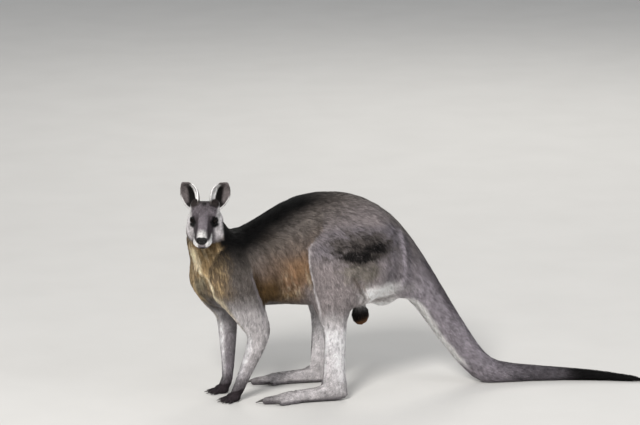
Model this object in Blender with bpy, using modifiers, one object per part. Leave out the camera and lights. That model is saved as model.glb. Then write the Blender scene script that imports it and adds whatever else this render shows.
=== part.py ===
"""Eastern grey kangaroo: an adult male at life size, on its hands and feet, its tail on the ground.

Metres, +Z up. The animal faces -X, so its left side is at -Y. Its head is turned to the left.
The whole body is fused from lofts and ellipsoids, then parted into named pieces by thin cuts.
"""

import math

import bmesh
import bpy
import numpy as np
from mathutils import Matrix, Vector

# ---- Driving sizes -------------------------------------------------------------------------
GAP = 0.0003  # clearance between neighbouring pieces
TORSO_VOXEL = 0.008  # grain at which trunk, neck and limbs are blended
VOXEL = 0.003  # grain of the whole body
TORSO_FILLET = 90  # rounds of filling of hollows, which blend masses into each other
HEAD_FILLET = 70
BODY_FILLET = 18
SMOOTHING = 16  # rounds of smoothing
EVEN_TRIANGLES = 6800  # of the whole body, before trunk and limbs are made plainer still
BODY_TRIANGLES = 3500  # of the whole body before it is parted
FLATNESS = math.radians(0.8)  # neighbouring faces nearer than this to one plane become one face
SEGMENTS = 36  # points round a section

EYE_RADIUS = 0.0135
EAR_LENGTH = 0.104
EAR_HALF_WIDTH = 0.044
EAR_WALL = 0.0045

# The head's own frame: its middle point lies between the eyes.
HEAD_MIDDLE = Vector((-0.4625, -0.086, 0.7075))
HEAD_TURN = math.radians(-15.5)  # facing direction, measured from -Y towards -X
HEAD_PITCH = math.radians(28)  # how far the muzzle points below the horizon


def head_axes():
    """Forward, left and up directions of the head."""
    level = Vector((math.sin(HEAD_TURN), -math.cos(HEAD_TURN), 0))
    left = Vector((0, 0, 1)).cross(level)
    forward = level * math.cos(HEAD_PITCH) - Vector((0, 0, 1)) * math.sin(HEAD_PITCH)
    return forward, left, forward.cross(left)


FORWARD, LEFT, UP = head_axes()


def in_head(forward, left, up):
    """A point given by how far it is forward, left and up of the middle of the eyes."""
    return HEAD_MIDDLE + FORWARD * forward + LEFT * left + UP * up


# Trunk and tail: dorsal point (x, z), ventral point (x, z), half width, sideways shift.
TRUNK_STATIONS = [
    ((-0.492, 0.570), (-0.496, 0.440), 0.056, 0.0),
    ((-0.462, 0.607), (-0.468, 0.388), 0.088, 0.0),
    ((-0.405, 0.634), (-0.410, 0.358), 0.108, 0.0),
    ((-0.330, 0.652), (-0.335, 0.350), 0.116, 0.0),
    ((-0.250, 0.688), (-0.255, 0.352), 0.124, 0.0),
    ((-0.160, 0.741), (-0.165, 0.356), 0.138, 0.0),
    ((-0.070, 0.774), (-0.075, 0.348), 0.150, 0.0),
    ((0.020, 0.783), (0.010, 0.340), 0.153, 0.0),
    ((0.105, 0.774), (0.080, 0.340), 0.150, 0.0),
    ((0.190, 0.744), (0.135, 0.346), 0.142, 0.0),
    ((0.268, 0.692), (0.185, 0.356), 0.130, 0.0),
    ((0.328, 0.628), (0.238, 0.366), 0.114, 0.0),
    ((0.375, 0.563), (0.288, 0.370), 0.096, 0.0),
    ((0.418, 0.498), (0.330, 0.352), 0.080, 0.0),
    ((0.456, 0.434), (0.360, 0.328), 0.069, 0.0),
    ((0.494, 0.367), (0.392, 0.290), 0.062, 0.0),
    ((0.538, 0.291), (0.436, 0.224), 0.058, 0.0),
    ((0.584, 0.218), (0.486, 0.156), 0.054, 0.0),
    ((0.627, 0.150), (0.542, 0.085), 0.050, 0.0),
    ((0.668, 0.105), (0.600, 0.027), 0.047, 0.0),
    ((0.704, 0.084), (0.655, -0.001), 0.044, 0.0),
    ((0.745, 0.073), (0.720, -0.003), 0.041, -0.002),
    ((0.810, 0.064), (0.800, -0.003), 0.036, -0.005),
    ((0.900, 0.055), (0.895, -0.003), 0.031, -0.015),
    ((0.990, 0.048), (0.990, -0.003), 0.027, -0.032),
    ((1.075, 0.041), (1.078, -0.003), 0.023, -0.056),
    ((1.150, 0.033), (1.155, -0.003), 0.019, -0.083),
    ((1.215, 0.025), (1.220, -0.002), 0.015, -0.110),
    ((1.262, 0.015), (1.264, 0.001), 0.008, -0.132),
]

# Neck: centre, half depth fore and aft, half width.
NECK_STATIONS = [
    (-0.372, 0.000, 0.480, 0.105, 0.092),
    (-0.402, -0.006, 0.550, 0.100, 0.086),
    (-0.426, -0.020, 0.605, 0.090, 0.078),
    (-0.446, -0.036, 0.655, 0.078, 0.072),
    (-0.456, -0.050, 0.705, 0.062, 0.062),
    (-0.458, -0.055, 0.735, 0.044, 0.044),
]

# Head: place along the head, top, bottom, half width, how much the top is narrowed.
HEAD_STATIONS = [
    (-0.092, 0.000, -0.030, 0.028, 0.00),
    (-0.080, 0.030, -0.050, 0.045, 0.00),
    (-0.055, 0.048, -0.063, 0.056, 0.05),
    (-0.025, 0.054, -0.067, 0.060, 0.10),
    (0.000, 0.050, -0.062, 0.050, 0.16),
    (0.014, 0.046, -0.058, 0.044, 0.20),
    (0.028, 0.042, -0.055, 0.038, 0.24),
    (0.050, 0.037, -0.052, 0.034, 0.24),
    (0.075, 0.032, -0.048, 0.032, 0.20),
    (0.097, 0.027, -0.044, 0.031, 0.16),
    (0.114, 0.020, -0.038, 0.028, 0.12),
    (0.123, 0.009, -0.028, 0.020, 0.08),
]

# Arms: centre, half depth fore and aft, half width. The left arm is bent, the right one straight.
LEFT_ARM_STATIONS = [
    (-0.368, -0.060, 0.585, 0.050, 0.035),
    (-0.360, -0.080, 0.540, 0.078, 0.046),
    (-0.345, -0.098, 0.470, 0.084, 0.050),
    (-0.318, -0.112, 0.395, 0.074, 0.047),
    (-0.285, -0.124, 0.330, 0.059, 0.042),
    (-0.264, -0.129, 0.285, 0.046, 0.038),
    (-0.270, -0.122, 0.235, 0.038, 0.034),
    (-0.289, -0.107, 0.170, 0.031, 0.028),
    (-0.311, -0.090, 0.110, 0.025, 0.023),
    (-0.326, -0.080, 0.066, 0.022, 0.022),
    (-0.336, -0.077, 0.042, 0.021, 0.023),
    (-0.345, -0.076, 0.024, 0.018, 0.022),
]
RIGHT_ARM_STATIONS = [
    (-0.395, 0.060, 0.585, 0.050, 0.035),
    (-0.405, 0.080, 0.535, 0.074, 0.046),
    (-0.412, 0.098, 0.465, 0.076, 0.049),
    (-0.399, 0.108, 0.395, 0.062, 0.045),
    (-0.359, 0.112, 0.330, 0.045, 0.041),
    (-0.341, 0.108, 0.285, 0.040, 0.037),
    (-0.341, 0.098, 0.235, 0.036, 0.033),
    (-0.343, 0.080, 0.170, 0.030, 0.027),
    (-0.347, 0.064, 0.110, 0.024, 0.022),
    (-0.351, 0.055, 0.066, 0.021, 0.021),
    (-0.358, 0.052, 0.042, 0.021, 0.023),
    (-0.366, 0.050, 0.024, 0.018, 0.022),
]

# Left leg: centre, half depth fore and aft, half width. The right leg is its mirror image.
LEG_STATIONS = [
    (0.165, -0.078, 0.680, 0.060, 0.036),
    (0.150, -0.098, 0.630, 0.118, 0.060),
    (0.122, -0.114, 0.565, 0.152, 0.073),
    (0.088, -0.126, 0.500, 0.158, 0.074),
    (0.046, -0.137, 0.442, 0.124, 0.067),
    (0.018, -0.146, 0.395, 0.088, 0.056),
    (0.016, -0.150, 0.355, 0.066, 0.048),
    (0.022, -0.150, 0.315, 0.050, 0.041),
    (0.027, -0.149, 0.275, 0.044, 0.036),
    (0.028, -0.147, 0.220, 0.041, 0.031),
    (0.025, -0.144, 0.150, 0.041, 0.030),
    (0.027, -0.141, 0.090, 0.044, 0.032),
    (0.032, -0.140, 0.050, 0.044, 0.033),
    (0.034, -0.140, 0.026, 0.038, 0.030),
]

ANKLE_STATIONS = LEG_STATIONS[-5:]

# Left foot: centre, half height, half width, from the heel to the tip of the great (fourth) toe.
FOOT_STATIONS = [
    (0.076, -0.140, 0.022, 0.012, 0.016),
    (0.058, -0.140, 0.027, 0.028, 0.028),
    (0.020, -0.140, 0.029, 0.031, 0.033),
    (-0.040, -0.141, 0.026, 0.027, 0.031),
    (-0.110, -0.143, 0.023, 0.024, 0.031),
    (-0.160, -0.145, 0.020, 0.021, 0.031),
    (-0.195, -0.146, 0.016, 0.017, 0.021),
    (-0.225, -0.146, 0.014, 0.015, 0.016),
    (-0.246, -0.146, 0.012, 0.012, 0.013),
    (-0.253, -0.146, 0.010, 0.006, 0.007),
]
FIFTH_TOE = [
    (-0.115, -0.160, 0.016, 0.014, 0.014),
    (-0.155, -0.173, 0.014, 0.014, 0.013),
    (-0.182, -0.181, 0.012, 0.012, 0.011),
    (-0.195, -0.184, 0.010, 0.007, 0.007),
]
TWIN_TOE = [
    (-0.120, -0.124, 0.014, 0.011, 0.011),
    (-0.155, -0.116, 0.012, 0.010, 0.010),
    (-0.176, -0.112, 0.010, 0.008, 0.008),
    (-0.184, -0.111, 0.009, 0.004, 0.004),
]

# Rounded masses that the lofts don't give: centre, half sizes, turn about Y in degrees.
PAIRED_MASSES = {
    "knee": ((-0.012, -0.128, 0.530), (0.066, 0.058, 0.100), 6),
    "haunch": ((0.190, -0.088, 0.560), (0.085, 0.070, 0.150), 0),
    "calf": ((0.040, -0.146, 0.365), (0.046, 0.040, 0.070), 0),
    "heel_cord": ((0.050, -0.141, 0.150), (0.018, 0.016, 0.090), 0),
    "shoulder_blade": ((-0.330, -0.070, 0.550), (0.090, 0.045, 0.080), 10),
    "breast": ((-0.430, -0.040, 0.470), (0.072, 0.052, 0.085), 0),
}
MIDDLE_MASSES = {
    "elbow_flesh": ((-0.330, -0.085, 0.400), (0.070, 0.045, 0.060), 0),
    "vent": ((0.238, 0.0, 0.366), (0.060, 0.052, 0.040), 0),
    "scrotum": ((0.158, 0.0, 0.296), (0.036, 0.032, 0.044), 0),
    "scrotum_neck": ((0.153, 0.0, 0.338), (0.018, 0.017, 0.032), 0),
}

# Masses of the head, in the head's frame (forward, left, up), for the left side.
HEAD_MASSES = {
    "cheek": ((-0.032, 0.038, -0.028), (0.050, 0.030, 0.038)),
    "brow": ((-0.002, 0.030, 0.026), (0.028, 0.015, 0.014)),
    "cheekbone": ((-0.004, 0.034, -0.014), (0.034, 0.014, 0.014)),
    "lip": ((0.088, 0.016, -0.022), (0.032, 0.019, 0.017)),
    "ear_root": ((-0.056, 0.035, 0.030), (0.026, 0.020, 0.020)),
}
NOSE_CENTRE = (0.123, 0.0, 0.004)
NOSE_HALF_SIZES = (0.014, 0.0235, 0.016)
EYE_PLACE = (0.006, 0.0390, 0.010)
RIGHT_LEG_SHIFT = 0.011  # how far the right leg stands behind the left one

FINGERS = 5
FINGER_LENGTH = 0.040
FINGER_RADIUS = 0.0075
FINGER_FAN = math.radians(23)  # between neighbouring fingers
CLAW_STEPS = 4
CLAW_SEGMENTS = 6
LEFT_WRIST, RIGHT_WRIST = Vector(LEFT_ARM_STATIONS[-1][:3]), Vector(RIGHT_ARM_STATIONS[-1][:3])
LEFT_HEADING = Vector((-1, -0.25, 0)).normalized()  # where the fingers point
RIGHT_HEADING = Vector((-1, 0.20, 0)).normalized()


# ---- Shapes --------------------------------------------------------------------------------
def clear_scene():
    for obj in list(bpy.data.objects):
        bpy.data.objects.remove(obj, do_unlink=True)


def through(stations, steps):
    """The stations' numbers along a smooth curve, with this many steps from one to the next."""
    rows = np.array([np.hstack([np.ravel(v) for v in row]) for row in stations], float)
    padded = np.vstack([2 * rows[0] - rows[1], rows, 2 * rows[-1] - rows[-2]])
    found = []
    for i in range(1, len(padded) - 2):
        a, b, c, d = padded[i - 1 : i + 3]
        for t in np.arange(steps) / steps:
            found.append(
                0.5 * (2 * b + (c - a) * t + (2 * a - 5 * b + 4 * c - d) * t**2
                       + (3 * b - a - 3 * c + d) * t**3)
            )
    found.append(rows[-1])
    return np.array(found)


def section(centre, over, across, squareness=2.0, narrow_top=0.0, segments=SEGMENTS):
    """One closed ring: a rounded outline with half axes over and across."""
    points = []
    for i in range(segments):
        angle = 2 * math.pi * i / segments
        c, s = math.cos(angle), math.sin(angle)
        up = math.copysign(abs(c) ** (2 / squareness), c)
        side = math.copysign(abs(s) ** (2 / squareness), s) * (1 - narrow_top * up)
        points.append(centre + over * up + across * side)
    return points


def loft(rings):
    """A closed mesh through the rings, with a point at the middle of each end."""
    bm = bmesh.new()
    rows = [[bm.verts.new(p) for p in ring] for ring in rings]
    for row, after in zip(rows, rows[1:]):
        for i in range(len(row)):
            j = (i + 1) % len(row)
            bm.faces.new((row[i], row[j], after[j], after[i]))
    for row, turned in ((rows[0], True), (rows[-1], False)):
        middle = bm.verts.new(sum((v.co for v in row), Vector()) / len(row))
        for i in range(len(row)):
            j = (i + 1) % len(row)
            bm.faces.new((row[j], row[i], middle) if turned else (row[i], row[j], middle))
    bmesh.ops.recalc_face_normals(bm, faces=bm.faces)
    mesh = bpy.data.meshes.new("loft")
    bm.to_mesh(mesh)
    bm.free()
    return mesh


def limb(stations, steps=3, right=False):
    """A loft along centres, its sections square to its path and as level sideways as they can be."""
    rows = through(stations, steps)
    if right:
        rows = rows * np.array([1, -1, 1, 1, 1]) + np.array([RIGHT_LEG_SHIFT, 0, 0, 0, 0])
    centres = [Vector(row[:3]) for row in rows]
    rings = []
    for i, row in enumerate(rows):
        path = centres[min(i + 1, len(rows) - 1)] - centres[max(i - 1, 0)]
        path.normalize()
        side = Vector((0, 1, 0))
        side = (side - path * side.dot(path)).normalized()
        rings.append(
            section(centres[i], path.cross(side) * row[3], side * row[4], squareness=2.2)
        )
    return loft(rings)


def trunk_and_tail(stations=TRUNK_STATIONS):
    rings = []
    for dx, dz, vx, vz, width, y in through(stations, 3):
        dorsal, ventral = Vector((dx, y, dz)), Vector((vx, y, vz))
        rings.append(
            section((dorsal + ventral) / 2, (dorsal - ventral) / 2, Vector((0, width, 0)),
                    squareness=2.15, narrow_top=0.10 if dx < 0.3 else 0.04)
        )
    return loft(rings)


def tail_end():
    """The part of the tail that lies on the floor."""
    return trunk_and_tail([row for row in TRUNK_STATIONS if row[0][0] > 0.70])


def head_form():
    rings = []
    for forward, top, bottom, width, narrow in through(HEAD_STATIONS, 3):
        centre = in_head(forward, 0, (top + bottom) / 2)
        rings.append(
            section(centre, UP * (top - bottom) / 2, LEFT * width,
                    squareness=2.25, narrow_top=narrow)
        )
    return loft(rings)


def ellipsoid(centre, half_sizes, axes=None, turn_y=0.0, segments=(28, 18)):
    """A ball stretched along its own three axes, which are the world's unless given."""
    bm = bmesh.new()
    bmesh.ops.create_uvsphere(bm, u_segments=segments[0], v_segments=segments[1], radius=1)
    turn = Matrix(axes).transposed() if axes else Matrix.Rotation(math.radians(turn_y), 3, "Y")
    place = Matrix.Translation(centre) @ turn.to_4x4() @ Matrix.Diagonal((*half_sizes, 1))
    bmesh.ops.transform(bm, matrix=place, verts=bm.verts)
    mesh = bpy.data.meshes.new("ellipsoid")
    bm.to_mesh(mesh)
    bm.free()
    return mesh


def body_masses():
    found = []
    for (x, y, z), half_sizes, turn in PAIRED_MASSES.values():
        found.append(ellipsoid((x, y, z), half_sizes, turn_y=turn))
        found.append(ellipsoid((x, -y, z), half_sizes, turn_y=turn))
    for centre, half_sizes, turn in MIDDLE_MASSES.values():
        found.append(ellipsoid(centre, half_sizes, turn_y=turn))
    return found


def head_masses():
    found = []
    for (forward, left, up), half_sizes in HEAD_MASSES.values():
        for side in (1, -1):
            centre = in_head(forward, left * side, up)
            found.append(ellipsoid(centre, half_sizes, axes=(FORWARD, LEFT, UP)))
    return found


def finger_paths(wrist, heading):
    """Root, tip and direction of each finger of a hand that lies on the floor."""
    paths = []
    for i in range(FINGERS):
        off_middle = i - (FINGERS - 1) / 2
        direction = Matrix.Rotation(off_middle * FINGER_FAN, 3, "Z") @ heading
        root = Vector((wrist.x, wrist.y, 0.016)) + heading * 0.004 + direction * 0.014
        tip = root + direction * FINGER_LENGTH * (1 - 0.09 * abs(off_middle))
        tip.z = 0.0065
        paths.append((root, tip, direction))
    return paths


def hand(wrist, heading):
    """The palm and fingers of a hand."""
    side = Vector((0, 0, 1)).cross(heading)
    palm = ellipsoid(Vector((wrist.x, wrist.y, 0.016)) + heading * 0.008, (0.028, 0.027, 0.019),
                     axes=(heading, side, Vector((0, 0, 1))))
    meshes = [palm]
    for root, tip, _ in finger_paths(wrist, heading):
        rows = [
            (*root.lerp(tip, t), FINGER_RADIUS * size, FINGER_RADIUS * size)
            for t, size in ((0, 1.15), (0.35, 1.0), (0.7, 1.0), (0.95, 0.8), (1.05, 0.4))
        ]
        meshes.append(limb(rows, steps=2))
    return meshes


def claw(root, direction, length, radius, droop):
    """A claw: a cone that curves down from its root to its tip."""
    side = Vector((0, 0, 1)).cross(direction).normalized()
    rings = []
    for i in range(CLAW_STEPS):
        t = i / (CLAW_STEPS - 1)
        centre = root + direction * length * t - Vector((0, 0, droop * t * t))
        path = (direction * length - Vector((0, 0, 2 * droop * t))).normalized()
        size = radius * (1 - 0.82 * t**1.3)
        rings.append(
            section(centre, path.cross(side) * size * 1.15, side * size * 0.85,
                    segments=CLAW_SEGMENTS)
        )
    return loft(rings)


def claw_list():
    """Name, root, direction, length, radius and droop of every claw."""
    found = []
    for name, wrist, heading in (
        ("left", LEFT_WRIST, LEFT_HEADING),
        ("right", RIGHT_WRIST, RIGHT_HEADING),
    ):
        for i, (_, tip, direction) in enumerate(finger_paths(wrist, heading)):
            root = tip - direction * 0.004 + Vector((0, 0, 0.0012))
            found.append((f"claw_hand_{name}_{i + 1}", root, direction, 0.022, 0.0036, 0.0035))
    for name, side, shift in (("left", 1, 0), ("right", -1, RIGHT_LEG_SHIFT)):
        for toe, x, y, z, length, radius, droop in (
            ("4", -0.240, -0.146, 0.0150, 0.040, 0.0075, 0.007),
            ("5", -0.186, -0.1815, 0.0120, 0.026, 0.0052, 0.005),
            ("2", -0.176, -0.1150, 0.0110, 0.017, 0.0030, 0.004),
            ("3", -0.177, -0.1065, 0.0110, 0.017, 0.0030, 0.004),
        ):
            found.append(
                (f"claw_foot_{name}_{toe}", Vector((x + shift, y * side, z)), Vector((-1, 0, 0)),
                 length, radius, droop)
            )
    return found


def ear_sheet(side):
    """The ear's open sheet, cupped most at its root, with its hollow facing forward and outward."""
    level = Vector((FORWARD.x, FORWARD.y, 0)).normalized()
    axis = (Vector((0, 0, 1)) * 0.88 + LEFT * side * 0.49 - level * 0.06).normalized()
    facing = level * 0.88 + LEFT * side * 0.42
    facing = (facing - axis * facing.dot(axis)).normalized()
    across = facing.cross(axis)
    root = in_head(-0.052, 0.040 * side, 0.036)
    rows, columns = 9, 7
    bm = bmesh.new()
    grid = []
    for i in range(rows):
        t = i / (rows - 1)
        width = EAR_HALF_WIDTH * (0.42 + 0.58 * math.sin(math.pi * (0.12 + 0.80 * t) ** 0.9))
        width *= math.sqrt(max(0.03, 1 - t**4))
        curl = math.radians(108 - 64 * t)  # half the angle that the sheet turns through
        radius = width / max(curl, 0.2) * (1.15 + 0.2 * t)
        middle = root + axis * (EAR_LENGTH * t - 0.012) - facing * 0.008 * math.sin(math.pi * t)
        line = []
        for j in range(columns):
            s = -1 + 2 * j / (columns - 1)
            angle = s * curl
            line.append(
                bm.verts.new(middle + across * radius * math.sin(angle)
                             - facing * radius * (math.cos(angle) - 0.35))
            )
        grid.append(line)
    for line, after in zip(grid, grid[1:]):
        for a, b, c, d in zip(line, line[1:], after[1:], after):
            bm.faces.new((a, b, c, d))
    mesh = bpy.data.meshes.new("ear")
    bm.to_mesh(mesh)
    bm.free()
    return mesh


# ---- Joining, smoothing and cutting ----------------------------------------------------------
def link(name, mesh, collection):
    obj = bpy.data.objects.new(name, mesh)
    collection.objects.link(obj)
    return obj


def joined(meshes):
    """One mesh that holds all of these."""
    bm = bmesh.new()
    for mesh in meshes:
        bm.from_mesh(mesh)
    mesh = bpy.data.meshes.new("joined")
    bm.to_mesh(mesh)
    bm.free()
    return mesh


def evaluated(obj):
    """A new mesh of the object with its modifiers applied."""
    bpy.context.view_layer.update()
    graph = bpy.context.evaluated_depsgraph_get()
    return bpy.data.meshes.new_from_object(obj.evaluated_get(graph))


def with_modifier(mesh, kind, **settings):
    """The mesh after one modifier."""
    obj = link("worked", mesh, bpy.context.scene.collection)
    modifier = obj.modifiers.new(kind, kind)
    for name, value in settings.items():
        setattr(modifier, name, value)
    made = evaluated(obj)
    bpy.data.objects.remove(obj)
    return made


def boolean(mesh, cutter, operation):
    other = link("cutter", cutter, bpy.context.scene.collection)
    made = with_modifier(mesh, "BOOLEAN", operation=operation, object=other, solver="EXACT")
    bpy.data.objects.remove(other)
    return made


def coordinates(mesh):
    points = np.empty(len(mesh.vertices) * 3)
    mesh.vertices.foreach_get("co", points)
    return points.reshape(-1, 3)


def neighbour_mean(mesh):
    """A function that gives, for each vertex, the mean of what its neighbours hold."""
    count = len(mesh.vertices)
    edges = np.empty(len(mesh.edges) * 2, int)
    mesh.edges.foreach_get("vertices", edges)
    a, b = edges.reshape(-1, 2).T
    valence = np.bincount(a, minlength=count) + np.bincount(b, minlength=count)

    def mean(values):
        total = np.stack(
            [
                np.bincount(a, values[b, k], count) + np.bincount(b, values[a, k], count)
                for k in range(3)
            ],
            axis=1,
        )
        return total / valence[:, None]

    return mean


def filleted(mesh, rounds, strength):
    """Fills creases and hollows. strength(points) says how much at each point."""
    points, mean = coordinates(mesh), neighbour_mean(mesh)
    power = strength(points)[:, None]
    for step in range(rounds):
        if step % 6 == 0:
            mesh.vertices.foreach_set("co", points.ravel())
            mesh.update()
            normals = np.array([n.vector for n in mesh.vertex_normals])
        toward = mean(points) - points
        rise = np.maximum(0, (toward * normals).sum(axis=1, keepdims=True))
        sideways = toward - normals * (toward * normals).sum(axis=1, keepdims=True)
        points = points + power * (0.8 * rise * normals + 0.15 * sideways)
    mesh.vertices.foreach_set("co", points.ravel())
    mesh.update()
    return mesh


def smoothed(mesh, rounds, strength):
    """Takes off fine roughness without shrinking."""
    points, mean = coordinates(mesh), neighbour_mean(mesh)
    power = strength(points)[:, None]
    for step in (0.55, -0.57) * rounds:
        points = points + power * step * (mean(points) - points)
    mesh.vertices.foreach_set("co", points.ravel())
    mesh.update()
    return mesh


def evenly(points):
    return np.ones(len(points))


def softness(points):
    """Full smoothing on trunk, limbs and tail, and less on head, fingers and toes."""
    x, z = points[:, 0], points[:, 2]
    above = np.clip((z - 0.016) / 0.03, 0.15, 1)
    behind = np.clip((x + 0.13) / 0.05, 0, 1)
    from_head = np.linalg.norm(points - np.array(in_head(0.02, 0, -0.01)), axis=1)
    head = np.clip((from_head - 0.07) / 0.05, 0.25, 1)
    return np.minimum(np.maximum(above, behind), head)


def coarseness(points):
    """Where faces may be large: not on head, hands and toes."""
    x, z = points[:, 0], points[:, 2]
    low_front = (z < 0.07) & (x < -0.10)
    from_head = np.linalg.norm(points - np.array(in_head(0.02, 0, -0.01)), axis=1)
    return np.where(low_front | (from_head < 0.13), 0.0, 1.0)


def plainer(mesh, triangles, weight):
    """The mesh with this many triangles. weight(points) is 0 where it keeps all it has."""
    obj = link("worked", mesh, bpy.context.scene.collection)
    group = obj.vertex_groups.new(name="plain")
    weights = weight(coordinates(mesh))
    for value in np.unique(weights):
        group.add(np.flatnonzero(weights == value).tolist(), float(value), "REPLACE")
    modifier = obj.modifiers.new("DECIMATE", "DECIMATE")
    modifier.ratio = triangles / len(mesh.polygons)
    modifier.vertex_group = group.name
    made = evaluated(obj)
    bpy.data.objects.remove(obj)
    return made


def inflated(mesh, by):
    made = mesh.copy()
    for vertex, normal in zip(made.vertices, [n.vector.copy() for n in mesh.vertex_normals]):
        vertex.co += normal * by
    return made


def slab(point, normal, radius):
    """A thin disc that cuts right through a limb."""
    bm = bmesh.new()
    bmesh.ops.create_cone(bm, cap_ends=True, segments=20, radius1=radius, radius2=radius, depth=GAP)
    turn = Vector((0, 0, 1)).rotation_difference(Vector(normal).normalized()).to_matrix().to_4x4()
    bmesh.ops.transform(bm, matrix=Matrix.Translation(point) @ turn, verts=bm.verts)
    mesh = bpy.data.meshes.new("slab")
    bm.to_mesh(mesh)
    bm.free()
    return mesh


def box(low, high):
    bm = bmesh.new()
    bmesh.ops.create_cube(bm, size=1)
    low, high = Vector(low), Vector(high)
    place = Matrix.Translation((low + high) / 2) @ Matrix.Diagonal((*(high - low), 1))
    bmesh.ops.transform(bm, matrix=place, verts=bm.verts)
    mesh = bpy.data.meshes.new("box")
    bm.to_mesh(mesh)
    bm.free()
    return mesh


def islands(mesh):
    """The mesh's separate bodies, each as a mesh with its middle point."""
    bm = bmesh.new()
    bm.from_mesh(mesh)
    bm.verts.ensure_lookup_table()
    unseen = set(range(len(bm.verts)))
    found = []
    while unseen:
        start = unseen.pop()
        group, todo = {start}, [bm.verts[start]]
        while todo:
            for edge in todo.pop().link_edges:
                for v in edge.verts:
                    if v.index not in group:
                        group.add(v.index)
                        todo.append(v)
        unseen -= group
        piece = bm.copy()
        piece.verts.ensure_lookup_table()
        drop = [v for v in piece.verts if v.index not in group]
        bmesh.ops.delete(piece, geom=drop, context="VERTS")
        middle = sum((v.co for v in piece.verts), Vector()) / len(piece.verts)
        made = bpy.data.meshes.new("island")
        piece.to_mesh(made)
        piece.free()
        found.append((made, middle))
    bm.free()
    return found


# ---- The whole body ------------------------------------------------------------------------
def fused(forms, voxel):
    return with_modifier(joined(forms), "REMESH", mode="VOXEL", voxel_size=voxel)


def torso():
    """Trunk, tail, neck, arms and legs, blended so that each runs into the next."""
    forms = [trunk_and_tail(), limb(NECK_STATIONS)]
    forms += [limb(LEFT_ARM_STATIONS), limb(RIGHT_ARM_STATIONS)]
    forms += [limb(LEG_STATIONS), limb(LEG_STATIONS, right=True)]
    body = filleted(fused(forms + body_masses(), TORSO_VOXEL), TORSO_FILLET, evenly)
    return smoothed(body, SMOOTHING, evenly)


def skull():
    """The head without ears, blended."""
    head = filleted(fused([head_form()] + head_masses(), VOXEL), HEAD_FILLET, evenly)
    return smoothed(head, SMOOTHING, evenly)


def whole_body():
    """The torso with head, hands, feet and tail end, all one smooth body with flats on the floor."""
    forms = [torso(), skull(), tail_end()]
    forms += hand(LEFT_WRIST, LEFT_HEADING) + hand(RIGHT_WRIST, RIGHT_HEADING)
    for right in (False, True):
        for stations in (ANKLE_STATIONS, FOOT_STATIONS, FIFTH_TOE, TWIN_TOE):
            forms.append(limb(stations, right=right))
    forms += [limb(LEFT_ARM_STATIONS[-4:]), limb(RIGHT_ARM_STATIONS[-4:])]
    body = filleted(fused(forms, VOXEL), BODY_FILLET, softness)
    body = smoothed(body, SMOOTHING, softness)
    body = with_modifier(body, "TRIANGULATE")
    body = plainer(plainer(body, EVEN_TRIANGLES, evenly), BODY_TRIANGLES, coarseness)
    floor = box((-1, -1, -0.3), (2, 1, 0))
    return boolean(body, floor, "DIFFERENCE")


# ---- Parting the body ------------------------------------------------------------------------
# Thin discs that cut through it: point, normal, radius.
CUTS = {
    "left_leg": [
        ((0.050, -0.148, 0.402), (0.35, 0, 1), 0.260),
        ((0.030, -0.140, 0.068), (0, 0, 1), 0.070),
    ],
    "right_leg": [
        ((0.050 + RIGHT_LEG_SHIFT, 0.148, 0.402), (0.35, 0, 1), 0.260),
        ((0.030 + RIGHT_LEG_SHIFT, 0.140, 0.068), (0, 0, 1), 0.070),
    ],
    "left_arm": [
        ((-0.264, -0.129, 0.283), (-0.1, 0.1, 1), 0.075),
        ((-0.334, -0.0785, 0.047), (-0.25, 0.1, 1), 0.048),
    ],
    "right_arm": [
        ((-0.350, 0.108, 0.283), (0.1, -0.1, 1), 0.075),
        ((-0.356, 0.0535, 0.047), (-0.1, -0.1, 1), 0.048),
    ],
    "middle": [
        ((-0.416, -0.013, 0.587), (-0.75, -0.10, 0.65), 0.156),  # neck and chest
        (tuple(in_head(-0.030, 0, -0.078)), tuple(UP * 0.985 - FORWARD * 0.174), 0.108),
        ((-0.215, 0, 0.520), (1, 0, 0.12), 0.240),  # chest and belly
        ((0.100, 0, 0.560), (1, 0, -0.25), 0.260),  # belly and rump
        ((0.358, 0, 0.440), (0.80, 0, -0.60), 0.150),
        ((0.500, 0, 0.265), (0.84, 0, -0.54), 0.110),
        ((0.668, 0, 0.045), (0.97, 0, -0.25), 0.100),
        ((0.950, -0.024, 0.025), (1, -0.2, 0), 0.070),
        ((0.153, 0, 0.332), (0, 0, 1), 0.042),  # scrotum
    ],
}

# The limbs' outlines seen from the left, clockwise.
LEG_OUTLINE = [
    (-0.288, -0.05), (-0.288, 0.045), (-0.060, 0.110), (-0.075, 0.34), (-0.088, 0.42),
    (-0.096, 0.50), (-0.086, 0.58), (-0.040, 0.650), (0.030, 0.705), (0.120, 0.735),
    (0.210, 0.725), (0.275, 0.670), (0.312, 0.590), (0.318, 0.500), (0.290, 0.420),
    (0.225, 0.362), (0.135, 0.300), (0.145, -0.05),
]
LEFT_UPPER_ARM = [
    (-0.395, 0.270), (-0.415, 0.375), (-0.445, 0.45), (-0.448, 0.53), (-0.420, 0.590),
    (-0.370, 0.625), (-0.310, 0.605), (-0.266, 0.53), (-0.240, 0.45), (-0.205, 0.345),
    (-0.190, 0.270),
]
LEFT_FOREARM = [
    (-0.450, -0.05), (-0.450, 0.10), (-0.395, 0.295), (-0.190, 0.295), (-0.210, 0.18),
    (-0.262, 0.09), (-0.291, 0.05), (-0.291, -0.05),
]
RIGHT_UPPER_ARM = [
    (-0.440, 0.270), (-0.478, 0.39), (-0.500, 0.46), (-0.490, 0.54), (-0.450, 0.595),
    (-0.400, 0.615), (-0.350, 0.590), (-0.322, 0.52), (-0.312, 0.44), (-0.296, 0.340),
    (-0.270, 0.270),
]
RIGHT_FOREARM = [
    (-0.470, -0.05), (-0.450, 0.20), (-0.440, 0.295), (-0.270, 0.295), (-0.296, -0.05),
]
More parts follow.
